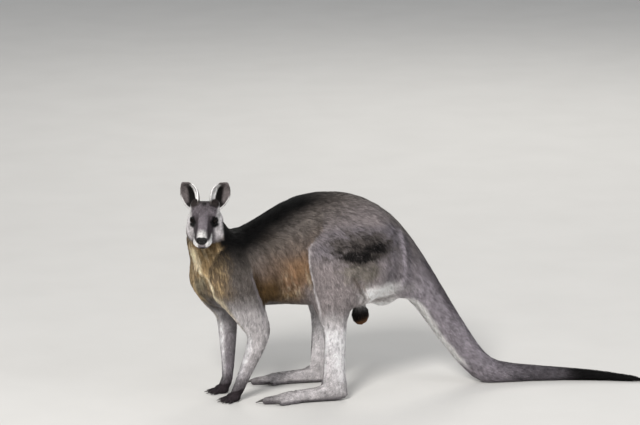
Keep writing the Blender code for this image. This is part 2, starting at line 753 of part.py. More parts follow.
# Each limb takes what lies within these outlines, beyond this far to the side.
REGIONS = {
    "left_leg": [(LEG_OUTLINE, -0.055)],
    "right_leg": [([(x + RIGHT_LEG_SHIFT, z) for x, z in LEG_OUTLINE], 0.055)],
    "left_arm": [(LEFT_UPPER_ARM, -0.055), (LEFT_FOREARM, -0.020)],
    "right_arm": [(RIGHT_UPPER_ARM, 0.055), (RIGHT_FOREARM, 0.005)],
}

# Where the middle of each piece of flesh lies.
PIECES = {
    "chest": (-0.38, 0, 0.50),
    "belly": (-0.06, 0, 0.55),
    "rump": (0.22, 0, 0.52),
    "neck": (-0.44, -0.03, 0.66),
    "head": tuple(in_head(0.01, 0, 0)),
    "scrotum": (0.153, 0, 0.295),
    "tail_root": (0.43, 0, 0.36),
    "tail_middle": (0.58, 0, 0.15),
    "tail_ground": (0.80, -0.01, 0.03),
    "tail_tip": (1.10, -0.07, 0.02),
    "arm_left_upper": (-0.33, -0.10, 0.45),
    "arm_right_upper": (-0.39, 0.10, 0.45),
    "arm_left_fore": (-0.29, -0.11, 0.16),
    "arm_right_fore": (-0.345, 0.08, 0.16),
    "hand_left": (-0.355, -0.08, 0.02),
    "hand_right": (-0.375, 0.05, 0.02),
    "leg_left_thigh": (0.08, -0.13, 0.55),
    "leg_right_thigh": (0.08, 0.13, 0.55),
    "leg_left_shank": (0.025, -0.145, 0.22),
    "leg_right_shank": (0.025, 0.145, 0.22),
    "foot_left": (-0.09, -0.145, 0.02),
    "foot_right": (-0.09, 0.145, 0.02),
}


def prism(outline, near, grow):
    """The space within an outline in the XZ plane, from y = near outward, grown on every side."""
    corners = [Vector(c) for c in outline]
    grown = []
    for before, corner, after in zip(corners[-1:] + corners, corners, corners[1:] + corners[:1]):
        first, second = (corner - before).normalized(), (after - corner).normalized()
        first, second = Vector((-first.y, first.x)), Vector((-second.y, second.x))
        grown.append(corner + (first + second) * (grow / (1 + first.dot(second))))
    inner, outer = near - math.copysign(grow, near), math.copysign(0.4, near)
    bm = bmesh.new()
    rows = [[bm.verts.new((c.x, y, c.y)) for c in grown] for y in (inner, outer)]
    bm.faces.new(rows[0])
    bm.faces.new(rows[1])
    for i in range(len(grown)):
        j = (i + 1) % len(grown)
        bm.faces.new((rows[0][i], rows[0][j], rows[1][j], rows[1][i]))
    bmesh.ops.recalc_face_normals(bm, faces=bm.faces)
    mesh = bpy.data.meshes.new("prism")
    bm.to_mesh(mesh)
    bm.free()
    return mesh


def region(name, grow):
    """The space that a limb takes up."""
    spaces = [prism(outline, near, grow) for outline, near in REGIONS[name]]
    return spaces[0] if len(spaces) == 1 else boolean(spaces[0], spaces[1], "UNION")


def parted(body):
    """Cuts limbs and pieces apart, and returns each piece by name."""
    flesh = {}
    for name in ("left_leg", "right_leg", "left_arm", "right_arm"):
        flesh[name] = boolean(body, region(name, 0), "INTERSECT")
        body = boolean(body, region(name, GAP), "DIFFERENCE")
    flesh["middle"] = body
    largest = {}
    for region_name, mesh in flesh.items():
        for cut in CUTS[region_name]:
            mesh = boolean(mesh, slab(*cut), "DIFFERENCE")
        cut = with_modifier(mesh, "DECIMATE", decimate_type="DISSOLVE", angle_limit=FLATNESS)
        for piece, middle in islands(cut):
            name = min(PIECES, key=lambda n: (Vector(PIECES[n]) - middle).length)
            if name not in largest or len(piece.polygons) > len(largest[name].polygons):
                largest[name] = piece
    return largest


# ---- Eyes, nose, ears and claws --------------------------------------------------------------
def outside(mesh, body):
    """The part of the mesh that stands out of the body."""
    found = [piece for piece, _ in islands(boolean(mesh, body, "DIFFERENCE"))]
    return max(found, key=lambda piece: len(piece.polygons))


def eye(side, grow=0.0):
    place = in_head(EYE_PLACE[0], EYE_PLACE[1] * side, EYE_PLACE[2])
    return ellipsoid(place, [EYE_RADIUS + grow] * 3, segments=(14, 9))


def nose_region(grow):
    return ellipsoid(in_head(*NOSE_CENTRE), [size + grow for size in NOSE_HALF_SIZES],
                     axes=(FORWARD, LEFT, UP), segments=(16, 10))


def ear(side, body):
    """The cupped ear, its root shaped to the head."""
    shell = with_modifier(ear_sheet(side), "SOLIDIFY", thickness=EAR_WALL, offset=0)
    return outside(shell, inflated(body, GAP))


# Colour and roughness of the pieces whose names start with each word.
COLOURS = {
    "chest": ((0.30, 0.22, 0.15), 0.9),
    "belly": ((0.24, 0.19, 0.16), 0.9),
    "rump": ((0.22, 0.19, 0.18), 0.9),
    "neck": ((0.25, 0.20, 0.16), 0.9),
    "head": ((0.30, 0.26, 0.26), 0.9),
    "ear": ((0.22, 0.18, 0.17), 0.9),
    "scrotum": ((0.16, 0.10, 0.07), 0.9),
    "tail_root": ((0.30, 0.27, 0.27), 0.9),
    "tail_middle": ((0.31, 0.28, 0.29), 0.9),
    "tail_ground": ((0.24, 0.21, 0.22), 0.9),
    "tail_tip": ((0.03, 0.03, 0.03), 0.9),
    "arm": ((0.34, 0.30, 0.31), 0.9),
    "hand": ((0.12, 0.10, 0.10), 0.9),
    "leg_left_thigh": ((0.34, 0.30, 0.28), 0.9),
    "leg_right_thigh": ((0.34, 0.30, 0.28), 0.9),
    "leg": ((0.52, 0.50, 0.50), 0.9),
    "foot": ((0.55, 0.53, 0.52), 0.9),
    "nose": ((0.015, 0.013, 0.013), 0.5),
    "eye": ((0.010, 0.007, 0.005), 0.08),
    "claw": ((0.035, 0.028, 0.024), 0.4),
}


def material(name, colour, roughness):
    made = bpy.data.materials.new(name)
    made.use_nodes = True
    shader = made.node_tree.nodes["Principled BSDF"]
    shader.inputs["Base Color"].default_value = (*colour, 1)
    shader.inputs["Roughness"].default_value = roughness
    shader.inputs["Metallic"].default_value = 0
    made.diffuse_color = (*colour, 1)
    return made


def colour_of(name):
    return next(look for start, look in COLOURS.items() if name.startswith(start))


def set_on_floor(objects):
    """Moves everything so that its box stands on the floor with its middle over the origin."""
    corners = [v.co for obj in objects for v in obj.data.vertices]
    low = Vector(min(c[k] for c in corners) for k in range(3))
    high = Vector(max(c[k] for c in corners) for k in range(3))
    shift = Vector(((low.x + high.x) / -2, (low.y + high.y) / -2, -low.z))
    for obj in objects:
        obj.data.transform(Matrix.Translation(shift))


def main():
    clear_scene()
    body = whole_body()
    pieces = {"ear_left": ear(1, body), "ear_right": ear(-1, body)}
    pieces |= {"eye_left": eye(1), "eye_right": eye(-1)}
    for side in (1, -1):
        body = boolean(body, eye(side, GAP), "DIFFERENCE")
    shell = inflated(body, GAP)
    for name, *shape in claw_list():
        pieces[name] = outside(claw(*shape), shell)
    pieces["nose"] = boolean(body, nose_region(0), "INTERSECT")
    body = boolean(body, nose_region(GAP), "DIFFERENCE")
    pieces |= parted(body)

    collection = bpy.data.collections.new("kangaroo")
    bpy.context.scene.collection.children.link(collection)
    objects = []
    for name, mesh in sorted(pieces.items()):
        mesh.materials.clear()
        mesh.materials.append(material(name, *colour_of(name)))
        objects.append(link(name, mesh, collection))
    set_on_floor(objects)


main()
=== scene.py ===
"""The kangaroo's looks: one skin, a coat of fur, eyes, claws and whiskers, in a studio."""

import math
from types import SimpleNamespace

import bmesh
import bpy
import numpy as np
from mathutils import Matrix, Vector
from mathutils.bvhtree import BVHTree


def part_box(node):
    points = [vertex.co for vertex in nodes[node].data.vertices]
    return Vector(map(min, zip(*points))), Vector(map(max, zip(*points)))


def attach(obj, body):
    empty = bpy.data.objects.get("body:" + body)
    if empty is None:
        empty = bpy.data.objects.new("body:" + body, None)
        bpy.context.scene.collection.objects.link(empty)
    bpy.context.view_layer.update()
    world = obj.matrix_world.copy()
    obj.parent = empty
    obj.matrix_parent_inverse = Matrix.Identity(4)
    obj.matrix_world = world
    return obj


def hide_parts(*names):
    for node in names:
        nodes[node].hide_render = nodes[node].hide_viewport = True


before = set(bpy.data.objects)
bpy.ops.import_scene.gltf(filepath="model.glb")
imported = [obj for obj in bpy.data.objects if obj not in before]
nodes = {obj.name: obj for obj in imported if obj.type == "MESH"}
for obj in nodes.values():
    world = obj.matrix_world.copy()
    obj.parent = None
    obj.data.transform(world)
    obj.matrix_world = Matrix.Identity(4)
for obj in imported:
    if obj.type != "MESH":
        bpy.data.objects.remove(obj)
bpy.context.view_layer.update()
random = np.random.default_rng(11)
scene = bpy.context.scene


# ---- The head's own frame, and the design's coordinates -------------------------------------
def unit(v):
    v = np.asarray(v, float)
    return v / np.maximum(np.linalg.norm(v, axis=-1, keepdims=True), 1e-12)


def middle(node):
    low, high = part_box(node)
    return np.array((low + high) / 2)


HEAD_TURN, HEAD_PITCH = math.radians(-15.5), math.radians(28)
LEVEL = np.array([math.sin(HEAD_TURN), -math.cos(HEAD_TURN), 0])
Z = np.array([0.0, 0, 1])
LEFT = np.cross(Z, LEVEL)
FORWARD = LEVEL * math.cos(HEAD_PITCH) - Z * math.sin(HEAD_PITCH)
UP = np.cross(FORWARD, LEFT)
HEAD_AXES = np.array([FORWARD, LEFT, UP])
EYE_RADIUS = 0.0135
HEAD_MIDDLE = (middle("eye_left") + middle("eye_right")) / 2 - FORWARD * 0.006 - UP * 0.010
# The markings are laid out in the frame that the body was drawn in, which is this far away.
DRAWN = np.array([-0.4625, -0.086, 0.7075]) - HEAD_MIDDLE


def to_head(points):
    return (points - HEAD_MIDDLE) @ HEAD_AXES.T


def from_head(place):
    return HEAD_MIDDLE + np.asarray(place) @ HEAD_AXES


# ---- Small tools ----------------------------------------------------------------------------
def ramp(value, start, end):
    """0 at start, 1 at end, with a soft turn at both."""
    t = np.clip((value - start) / (end - start), 0, 1)
    return t * t * (3 - 2 * t)


def span(value, rise, top, fall, end):
    """1 from top to fall, with soft turns to 0 at rise and end."""
    return ramp(value, rise, top) * ramp(value, end, fall)


def bump(value, centre, width):
    """1 at the centre, falling away on both sides."""
    return np.exp(-(((value - centre) / width) ** 2))


def lattice(cells, seed):
    """A random number for each whole-numbered cell."""
    n = cells[:, 0] * 73856093 ^ cells[:, 1] * 19349663 ^ cells[:, 2] * 83492791 ^ seed * 2654435761
    n = (n ^ (n >> 13)) * 1274126177 & 0x7FFFFFFF
    n = (n ^ (n >> 11)) * 668265263 & 0x7FFFFFFF
    return (n ^ (n >> 15)) / 0x7FFFFFFF


def noise(points, size, seed=0):
    """Smooth noise from -1 to 1 with features of this size."""
    at = points / size
    cell = np.floor(at).astype(np.int64)
    part = at - cell
    part = part * part * (3 - 2 * part)
    total = np.zeros(len(points))
    for corner in np.ndindex(2, 2, 2):
        weight = np.prod(np.where(corner, part, 1 - part), axis=1)
        total += weight * lattice(cell + np.array(corner), seed)
    return total * 2 - 1


def linear(r, g, b):
    """A colour as seen, made linear."""
    c = np.array([r, g, b])
    return np.where(c < 0.04045, c / 12.92, ((c + 0.055) / 1.055) ** 2.4)


def mesh_from(name, points, faces):
    """A mesh of triangles from arrays."""
    mesh = bpy.data.meshes.new(name)
    mesh.vertices.add(len(points))
    mesh.vertices.foreach_set("co", np.asarray(points, np.float32).ravel())
    mesh.loops.add(faces.size)
    mesh.loops.foreach_set("vertex_index", np.asarray(faces, np.int32).ravel())
    mesh.polygons.add(len(faces))
    mesh.polygons.foreach_set("loop_start", np.arange(len(faces), dtype=np.int32) * faces.shape[1])
    mesh.update(calc_edges=True)
    mesh.shade_smooth()
    return mesh


def add(name, mesh, material):
    """The mesh as a piece of the model."""
    obj = bpy.data.objects.new(name, mesh)
    scene.collection.objects.link(obj)
    mesh.materials.clear()
    mesh.materials.append(material)
    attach(obj, "root")
    return obj


def read(items, field, width, kind=np.float32):
    """One field of all the items of a mesh, as rows."""
    values = np.empty(len(items) * width, kind)
    items.foreach_get(field, values)
    return values.reshape(-1, width)


def points_of(mesh):
    return read(mesh.vertices, "co", 3).astype(float)


def normals_of(mesh):
    return read(mesh.vertex_normals, "vector", 3).astype(float)


def move(mesh, points):
    mesh.vertices.foreach_set("co", points.astype(np.float32).ravel())
    mesh.update()


def set_attribute(mesh, name, kind, values):
    layer = mesh.attributes.new(name, kind, "POINT")
    field = {"FLOAT": "value", "FLOAT_VECTOR": "vector", "FLOAT_COLOR": "color"}[kind]
    if kind == "FLOAT_COLOR":
        values = np.column_stack([values, np.ones(len(values))])
    layer.data.foreach_set(field, np.asarray(values, np.float32).ravel())


def neighbours(mesh):
    """A function that gives each vertex the mean of what its neighbours hold."""
    edge_ends = read(mesh.edges, "vertices", 2, np.int32)
    both = np.concatenate([edge_ends, edge_ends[:, ::-1]])
    both = both[np.argsort(both[:, 0], kind="stable")]
    count = np.bincount(both[:, 0], minlength=len(mesh.vertices))
    starts = np.concatenate([[0], np.cumsum(count)[:-1]])
    source = both[:, 1]

    def mean(values):
        total = np.add.reduceat(values[source], starts, axis=0)
        return total / count.reshape(-1, *[1] * (values.ndim - 1))

    return mean


def with_modifier(mesh, kind, weights=None, **settings):
    """The mesh after one modifier. weights goes into a vertex group for it."""
    obj = bpy.data.objects.new("worked", mesh)
    scene.collection.objects.link(obj)
    modifier = obj.modifiers.new(kind, kind)
    if weights is not None:
        group = obj.vertex_groups.new(name="weights")
        levels = np.round(weights * 16).astype(int)
        for level in np.unique(levels):
            group.add(np.flatnonzero(levels == level).tolist(), level / 16, "REPLACE")
        modifier.vertex_group = group.name
    for name, value in settings.items():
        setattr(modifier, name, value)
    bpy.context.view_layer.update()
    made = bpy.data.meshes.new_from_object(obj.evaluated_get(bpy.context.evaluated_depsgraph_get()))
    bpy.data.objects.remove(obj)
    return made


# ---- One skin over the whole body -----------------------------------------------------------
FLESH = sorted(name for name in nodes if not name.startswith(("eye", "claw")))
VOXEL = 0.0022
GROWN = 0.0005  # closes the gaps between the solids
SKIN_FACES = 95000
FACE_REACH = 0.16
FLOOR_GAP = 0.0002


def grown_flesh():
    """All the flesh and the eyes, each grown a little so that neighbours overlap."""
    bm = bmesh.new()
    for name in FLESH + ["eye_left", "eye_right"]:
        bm.from_mesh(nodes[name].data)
    bmesh.ops.remove_doubles(bm, verts=bm.verts, dist=1e-6)
    bm.normal_update()
    for vert in bm.verts:
        vert.co += vert.normal * GROWN
    mesh = bpy.data.meshes.new("flesh")
    bm.to_mesh(mesh)
    bm.free()
    return mesh


def labels(points):
    """For each point the index in FLESH of the solid that it lies on."""
    corners, faces, owner = [], [], []
    for index, name in enumerate(FLESH):
        data = nodes[name].data
        data.calc_loop_triangles()
        start = len(corners)
        corners += [v.co for v in data.vertices]
        faces += [[start + v for v in t.vertices] for t in data.loop_triangles]
        owner += [index] * len(data.loop_triangles)
    tree = BVHTree.FromPolygons(corners, faces)
    owner = np.array(owner)
    return owner[[tree.find_nearest(p)[2] for p in points.tolist()]]


def near_head(points):
    """How far a point is from the middle of the head."""
    return np.linalg.norm(to_head(points) - np.array([0.02, 0, -0.01]), axis=1)


def smooth_base(points):
    """How much the first smoothing may move each point."""
    drawn = points + DRAWN
    low_front = ramp(drawn[:, 2], 0.02, 0.05) * 0.85 + 0.15
    low_front = np.where(drawn[:, 0] < -0.10, low_front, 1)
    head = ramp(near_head(points), 0.10, 0.17) * 0.75 + 0.25
    ears = 1 - 0.8 * ramp(to_head(points)[:, 2] - 0.3 * to_head(points)[:, 0], 0.055, 0.075)
    ears = np.where(near_head(points) < 0.22, ears, 1)
    return np.minimum(np.minimum(low_front, head), ears)


def along_edges(points):
    """The strips of skin where thigh, arm and tail are set off from the trunk."""
    y, z = (points + DRAWN)[:, 1], (points + DRAWN)[:, 2]
    thigh, front, rear = edges(points)
    near = np.zeros(len(points), bool)
    for away, top, out in ((thigh, 0.67, 0.06), (front, 0.60, 0.03), (rear, 0.57, 0.06)):
        near |= (np.abs(away + 0.002) < 0.011) & (z > 0.37) & (z < top) & (np.abs(y) > out)
    return near


def subdivided(mesh, wanted):
    """The mesh with the faces whose middle the function picks cut into smaller ones."""
    bm = bmesh.new()
    bm.from_mesh(mesh)
    centres = np.array([f.calc_center_median() for f in bm.faces])
    picked = wanted(centres)
    cut = {e for f, take in zip(bm.faces, picked) if take for e in f.edges}
    bmesh.ops.subdivide_edges(bm, edges=list(cut), cuts=1, use_grid_fill=True)
    bmesh.ops.triangulate(bm, faces=bm.faces)
    made = bpy.data.meshes.new("skin")
    bm.to_mesh(made)
    bm.free()
    return made


def smoothed(mesh, rounds, power):
    """Takes off roughness without shrinking."""
    mean = neighbours(mesh)
    points = points_of(mesh)
    power = power[:, None]
    for step in (0.6, -0.62) * rounds:
        points += power * step * (mean(points) - points)
    move(mesh, points)
    return mesh


def base_skin():
    """The body's skin before its fine shapes, with smaller faces on the head and hands."""
    mesh = with_modifier(grown_flesh(), "REMESH", mode="VOXEL", voxel_size=VOXEL)
    mesh = smoothed(mesh, 28, smooth_base(points_of(mesh)))
    mesh = with_modifier(mesh, "TRIANGULATE")
    points = points_of(mesh)
    weight = ramp(near_head(points), 0.12, 0.20) * 0.9 + 0.1
    low_front = (points + DRAWN)[:, 2] < 0.08
    weight = np.where(low_front & ((points + DRAWN)[:, 0] < -0.1), 0.3, weight)
    return with_modifier(mesh, "DECIMATE", weights=weight, ratio=SKIN_FACES / len(mesh.polygons))


# ---- Parts of the coat: what the fur is like on each solid -----------------------------------
# Without left or right in it, a solid's name tells what kind of part it is.
KINDS = [name.replace("_left", "").replace("_right", "") for name in FLESH]
# Coat depth, hair length and distance between hairs, in millimetres, by the start of the kind.
COAT = {
    "head": (2.4, 7.5, 1.34),
    "nose": (0.4, 3.0, 1.34),
    "ear": (0.9, 6.0, 1.27),
    "neck": (7.5, 21, 2.05),
    "chest": (8.5, 25, 2.26),
    "belly": (9.0, 28, 2.40),
    "rump": (8.0, 25, 2.40),
    "leg_thigh": (6.5, 21, 2.20),
    "leg": (3.6, 12, 1.77),
    "foot": (1.7, 6.5, 1.55),
    "arm_upper": (6.0, 19, 2.05),
    "arm": (3.6, 12, 1.70),
    "hand": (1.6, 6, 1.41),
    "scrotum": (2.4, 8, 1.55),
    "tail_root": (6.5, 21, 2.20),
    "tail_middle": (5.5, 19, 2.12),
    "tail": (4.5, 17, 1.91),
}
COAT_OF = np.array([next(COAT[start] for start in COAT if kind.startswith(start)) for kind in KINDS]) / 1000


def named(part, *starts):
    """1 where a place lies on a solid whose name or kind starts like this.

    part holds an index for each place, or the share of each solid there.
    """
    pairs = zip(FLESH, KINDS)
    wanted = np.array([name.startswith(starts) or kind.startswith(starts) for name, kind in pairs], float)
    return wanted[part] if part.ndim == 1 else part @ wanted


EYE_PLACE = np.array([0.006, 0.0390, 0.010])
SIDES = (1, -1)


def eye_frame(side):
    """Centre of an eye, where it looks, towards its inner corner, and up, in the head's frame."""
    centre = EYE_PLACE * (1, side, 1)
    look = unit([0.76, 0.62 * side, 0.05])
    corner = np.array([1, -0.55 * side, -0.42])
    corner = unit(corner - look * corner.dot(look))
    top = np.cross(corner, look) * side
    return centre, look, corner, top if top[2] > 0 else -top


LID_HALF_WIDTH, LID_HALF_HEIGHT = math.radians(66), math.radians(57)


def eye_opening(head, side):
    """How far from the eye's centre a place is, where on its opening, how high, and which way.

    On the opening, 1 is the lids' edge.
    """
    centre, look, corner, top = eye_frame(side)
    v = head - centre
    front = v @ look
    a = np.arctan2(v @ corner, front) / LID_HALF_WIDTH
    b = np.arctan2(v @ top, front)
    lid = LID_HALF_HEIGHT * np.where(b > 0, 1.0, 0.90) * (1 - 0.22 * np.clip(a * a, 0, 1.6))
    return np.linalg.norm(v, axis=1), np.hypot(a, b / lid), b, v


def near_eyes(head):
    return np.min([np.linalg.norm(head - EYE_PLACE * (1, s, 1), axis=1) for s in SIDES], axis=0)


def mouth_height(forward):
    """How high the mouth's line runs at each place along the head."""
    places = [0.040, 0.060, 0.085, 0.105, 0.125]
    return np.interp(forward, places, [-0.031, -0.034, -0.031, -0.0275, -0.026])


def fine_face(points):
    head = to_head(points)
    muzzle = (head[:, 0] > 0.048) & (np.abs(head[:, 1]) < 0.05) & (np.abs(head[:, 2]) < 0.06)
    return (near_eyes(head) < 0.025) | muzzle


def finest_face(points):
    head = to_head(points)
    mouth = (head[:, 0] > 0.050) & (np.abs(head[:, 2] - mouth_height(head[:, 0])) < 0.005)
    nose = (head[:, 0] > 0.108) & (np.abs(head[:, 1]) < 0.03) & (np.abs(head[:, 2]) < 0.03)
    return (near_eyes(head) < 0.0195) | ((mouth | nose) & (np.abs(head[:, 1]) < 0.05))


def shape_face(points, normals):
    """Lids, nostrils, mouth and the folds of the face."""
    head = to_head(points)
    inward = np.zeros(len(points))
    f, l, u = head.T
    near = near_head(points) < FACE_REACH

    # The mouth's line, with a lip above it that hangs over and a chin below it.
    above = u - mouth_height(f)
    along = ramp(f, 0.042, 0.058) * near
    inward += along * (0.0030 * bump(above, 0, 0.0014) - 0.0012 * bump(above, 0.0055, 0.0035))
    inward -= along * 0.0008 * bump(above, -0.006, 0.004)
    # The groove from nose to lip.
    inward += near * ramp(f, 0.108, 0.114) * 0.0016 * bump(l, 0, 0.0011) * ramp(u, 0.004, -0.004)
    # The nose pad stands a little proud of the fur, with a soft edge.
    inward -= 0.0007 * nose_pad(head)
    # Nostrils: a deep round hole in front and a slit that curls out and up from it.
    side = np.abs(l)
    hole = bump(side, 0.0115, 0.0040) * bump(u, 0.0015 + 0.35 * (side - 0.0115), 0.0029)
    slit = bump(u, 0.0055 + 0.9 * (side - 0.0165), 0.0013) * span(side, 0.0115, 0.0145, 0.0195, 0.0225)
    inward += near * ramp(f, 0.104, 0.112) * (0.0062 * hole + 0.0026 * slit)
    points = points - normals * inward[:, None]

    # Lids over the eyeballs, open where the eye looks out.
    for eye_side in SIDES:
        head = to_head(points)
        radius, opening, height, v = eye_opening(head, eye_side)
        rim = EYE_RADIUS + 0.0012 + 0.0006 * (height > 0)
        outside = np.maximum(radius, rim)
        outside = outside - 0.0011 * bump(opening, 1.62, 0.13) * (height > 0)
        outside = outside - 0.0006 * bump(opening, 1.55, 0.12) * (height < 0)
        wanted = outside + (EYE_RADIUS - 0.0028 - outside) * ramp(opening, 1.03, 0.90)
        near_it = (radius < EYE_RADIUS + 0.009) & (opening < 2.2) & (v @ eye_frame(eye_side)[1] > 0)
        head = np.where(near_it[:, None], head + v * (wanted / radius - 1)[:, None], head)
        points = np.where(near_it[:, None], from_head(head), points)
    return points


def nose_pad(head):
    """1 on the bare nose, 0 on the fur round it: broad above, with a dip in its top, narrow below."""
    off = (head - np.array([0.123, 0, 0.0050])) / np.array([0.0165, 0.0240, 0.0175])
    low = np.clip(-off[:, 2], 0, 1.2)
    off[:, 1] *= 1 + 0.50 * low
    off[:, 2] += 0.20 * bump(head[:, 1], 0, 0.007) * (off[:, 2] > 0)
    return ramp(np.linalg.norm(off, axis=1), 1.06, 0.94)


def coat_lie(part, points, normals):
    """Which way the coat lies at each vertex, along the skin."""
    p = points + DRAWN
    x, z = p[:, 0], p[:, 2]
    side = np.sign(p[:, 1])
    head = to_head(points)
    back = ramp(normals[:, 2], -0.1, 0.7)
    under = ramp(normals[:, 2], -0.4, -0.9)
    lie = np.zeros((len(points), 3))

    def lay(name, *direction):
        lie[:] += named(part, name)[:, None] * unit(np.column_stack([d + 0 * x for d in direction]))

    cheek = ramp(head[:, 2], 0.03, -0.04)
    rearward = -FORWARD - np.outer(0.5 * cheek, UP) + np.outer(0.25 * np.sign(head[:, 1]), LEFT)
    lie += named(part, "head", "nose")[:, None] * unit(rearward)
    for ear_side, name in EARS:
        lie += named(part, name)[:, None] * ear_axis(ear_side)
    lay("neck", 0.25 + 0.6 * back, 0.05 * side, -0.9)
    lay("chest", 0.35 + 0.65 * back + 0.5 * under, 0, -0.85 + 0.75 * back + 0.5 * under)
    low = ramp(z, 0.72, 0.48)
    lay("belly", 1 - 0.62 * low + under, 0, -0.25 - 0.65 * low + 0.25 * back)
    lay("rump", 0.75, 0, -0.15 - 1.1 * ramp(x, 0.08, 0.36))
    lay("leg_thigh", 0.45, 0, -0.85)
    lay("leg_shank", 0.06, 0, -1)
    lay("foot", -1 + 1.2 * ramp(x, -0.03, 0.03), 0, -0.1 - ramp(x, -0.03, 0.03))
    lay("arm_upper", 0.15, 0.06 * side, -0.98)
    lay("arm_left_fore", -0.28, 0.18, -0.93)
    lay("arm_right_fore", -0.03, -0.22, -0.97)
    lay("hand", -1, 0, -0.35)
    lay("scrotum", 0, 0, -1)
    lay("tail_root", 0.50, 0, -0.86)
    lay("tail_middle", 0.60, 0, -0.80 + 0.6 * ramp(x, 0.6, 0.7))
    lay("tail_ground", 1, -0.10, 0)
    lay("tail_tip", 1, -0.38, 0)
    return lie


def along_skin(directions, normals):
    """Directions laid flat on the skin."""
    return unit(directions - normals * np.sum(directions * normals, axis=1, keepdims=True))


# ---- Markings ---------------------------------------------------------------------------------
CHARCOAL = linear(0.12, 0.105, 0.10)
GREY_BROWN = linear(0.40, 0.372, 0.355)
BROWN = linear(0.395, 0.345, 0.315)
OCHRE = linear(0.56, 0.435, 0.325)
UMBER = linear(0.35, 0.265, 0.155)
STRAW = linear(0.58, 0.48, 0.34)
TAWNY = linear(0.56, 0.47, 0.345)
GOLD = linear(0.80, 0.70, 0.54)
CREAM = linear(0.89, 0.83, 0.71)
OLIVE_GREY = linear(0.46, 0.44, 0.375)
RUMP_GREY = linear(0.535, 0.505, 0.495)
WARM_GREY = linear(0.565, 0.53, 0.53)
PALE_GREY = linear(0.79, 0.77, 0.775)
SILVER = linear(0.95, 0.94, 0.95)
LAVENDER = linear(0.52, 0.495, 0.52)
WHITE = linear(0.95, 0.94, 0.935)
FACE_GREY = linear(0.475, 0.445, 0.465)
FACE_DARK = linear(0.25, 0.22, 0.235)
EAR_DARK = linear(0.12, 0.10, 0.09)
EAR_GREY = linear(0.36, 0.335, 0.335)
BLACK = linear(0.055, 0.050, 0.052)
RUST = linear(0.42, 0.29, 0.19)
SKIN_DARK = linear(0.10, 0.085, 0.08)
CLAW_DARK = linear(0.16, 0.145, 0.14)


def streaks(points, direction, width, length, seed):
    """Noise drawn out along a direction."""
    direction = unit(direction)
    along = points @ direction
    return noise(points - np.outer(along * (1 - width / length), direction), width, seed)


def ruffled(points):
    """1 in the middle of the hips' ruffled patch, 0 well outside it."""
    x, z = (points + DRAWN)[:, 0], (points + DRAWN)[:, 2]
    rough = 0.40 * noise(points * (1, 1, 2.2), 0.030, 5) + 0.20 * noise(points * (1, 1, 2.6), 0.012, 6)
    return ramp(np.hypot((x - 0.130) / 0.135, (z - 0.600) / 0.070) + rough, 1.15, 0.70)


def edges(points):
    """How far behind the thigh's front edge, the upper arm's front edge and its rear edge each point lies."""
    x, _, z = (points + DRAWN).T
    thigh = x - np.interp(z, [0.36, 0.385, 0.429, 0.489, 0.553, 0.601, 0.625, 0.675],
                          [-0.044, -0.048, -0.058, -0.069, -0.078, -0.079, -0.058, -0.025])
    arm_front = x - np.interp(z, [0.329, 0.381, 0.431, 0.465, 0.50, 0.516, 0.54, 0.563, 0.593],
                              [-0.351, -0.402, -0.435, -0.444, -0.458, -0.480, -0.491, -0.501, -0.510])
    arm_rear = x - np.interp(z, [0.33, 0.399, 0.456, 0.537, 0.60], [-0.243, -0.253, -0.272, -0.292, -0.315])
    return thigh, arm_front, arm_rear


def hip_line(x, z):
    """How far behind the line where hip meets tail a place lies."""
    return x - np.interp(z, [0.43, 0.50, 0.573, 0.615, 0.658], [0.295, 0.300, 0.302, 0.295, 0.288])


class Canvas:
    """The coat's colours, with the places and parts of the body that markings are worked out from."""

    def __init__(self, part, points, normals, under):
        self.part, self.points, self.normals, self.colour = part, points, normals, under.copy()
        self.x, self.y, self.z = x, y, z = (points + DRAWN).T
        self.side = np.abs(y)
        self.beside = ramp(self.side, 0.05, 0.08)
        self.wander = noise(points, 0.045, 3)
        self.behind_thigh, self.behind_front, self.behind_rear = edges(points)
        back = np.interp(x, [-0.49, -0.40, -0.33, -0.25, -0.16, -0.07, 0.02, 0.11, 0.19, 0.27, 0.33, 0.38],
                         [0.62, 0.640, 0.652, 0.688, 0.741, 0.774, 0.783, 0.774, 0.744, 0.692, 0.628, 0.563])
        self.below = back - z + 0.012 * self.wander
        self.seen = 0.978 * x + 0.208 * self.side + 0.006 * self.wander
        # Trunk, thighs and upper arms meet at the edges of thigh and arm, not where their solids do.
        thigh, upper = self.on("leg_thigh"), self.on("arm_upper")
        before_thigh = thigh * ramp(self.behind_thigh, 0.001, -0.001)
        after_arm = upper * ramp(self.behind_rear, -0.001, 0.001) * ramp(z, 0.38, 0.40)
        self.thigh, self.upper = thigh - before_thigh, upper - after_arm
        self.trunk = self.on("belly", "rump", "chest") + before_thigh + after_arm
        self.haunch = np.maximum(self.thigh, self.on("belly", "rump") * ramp(x, 0.34, 0.30)) * self.beside
        self.neck, self.chest = self.on("neck"), self.on("chest", "neck")

    def on(self, *starts):
        return named(self.part, *starts)

    def paint(self, weight, tint):
        w = np.clip(weight, 0, 1)[:, None]
        self.colour[:] = self.colour * (1 - w) + tint * w


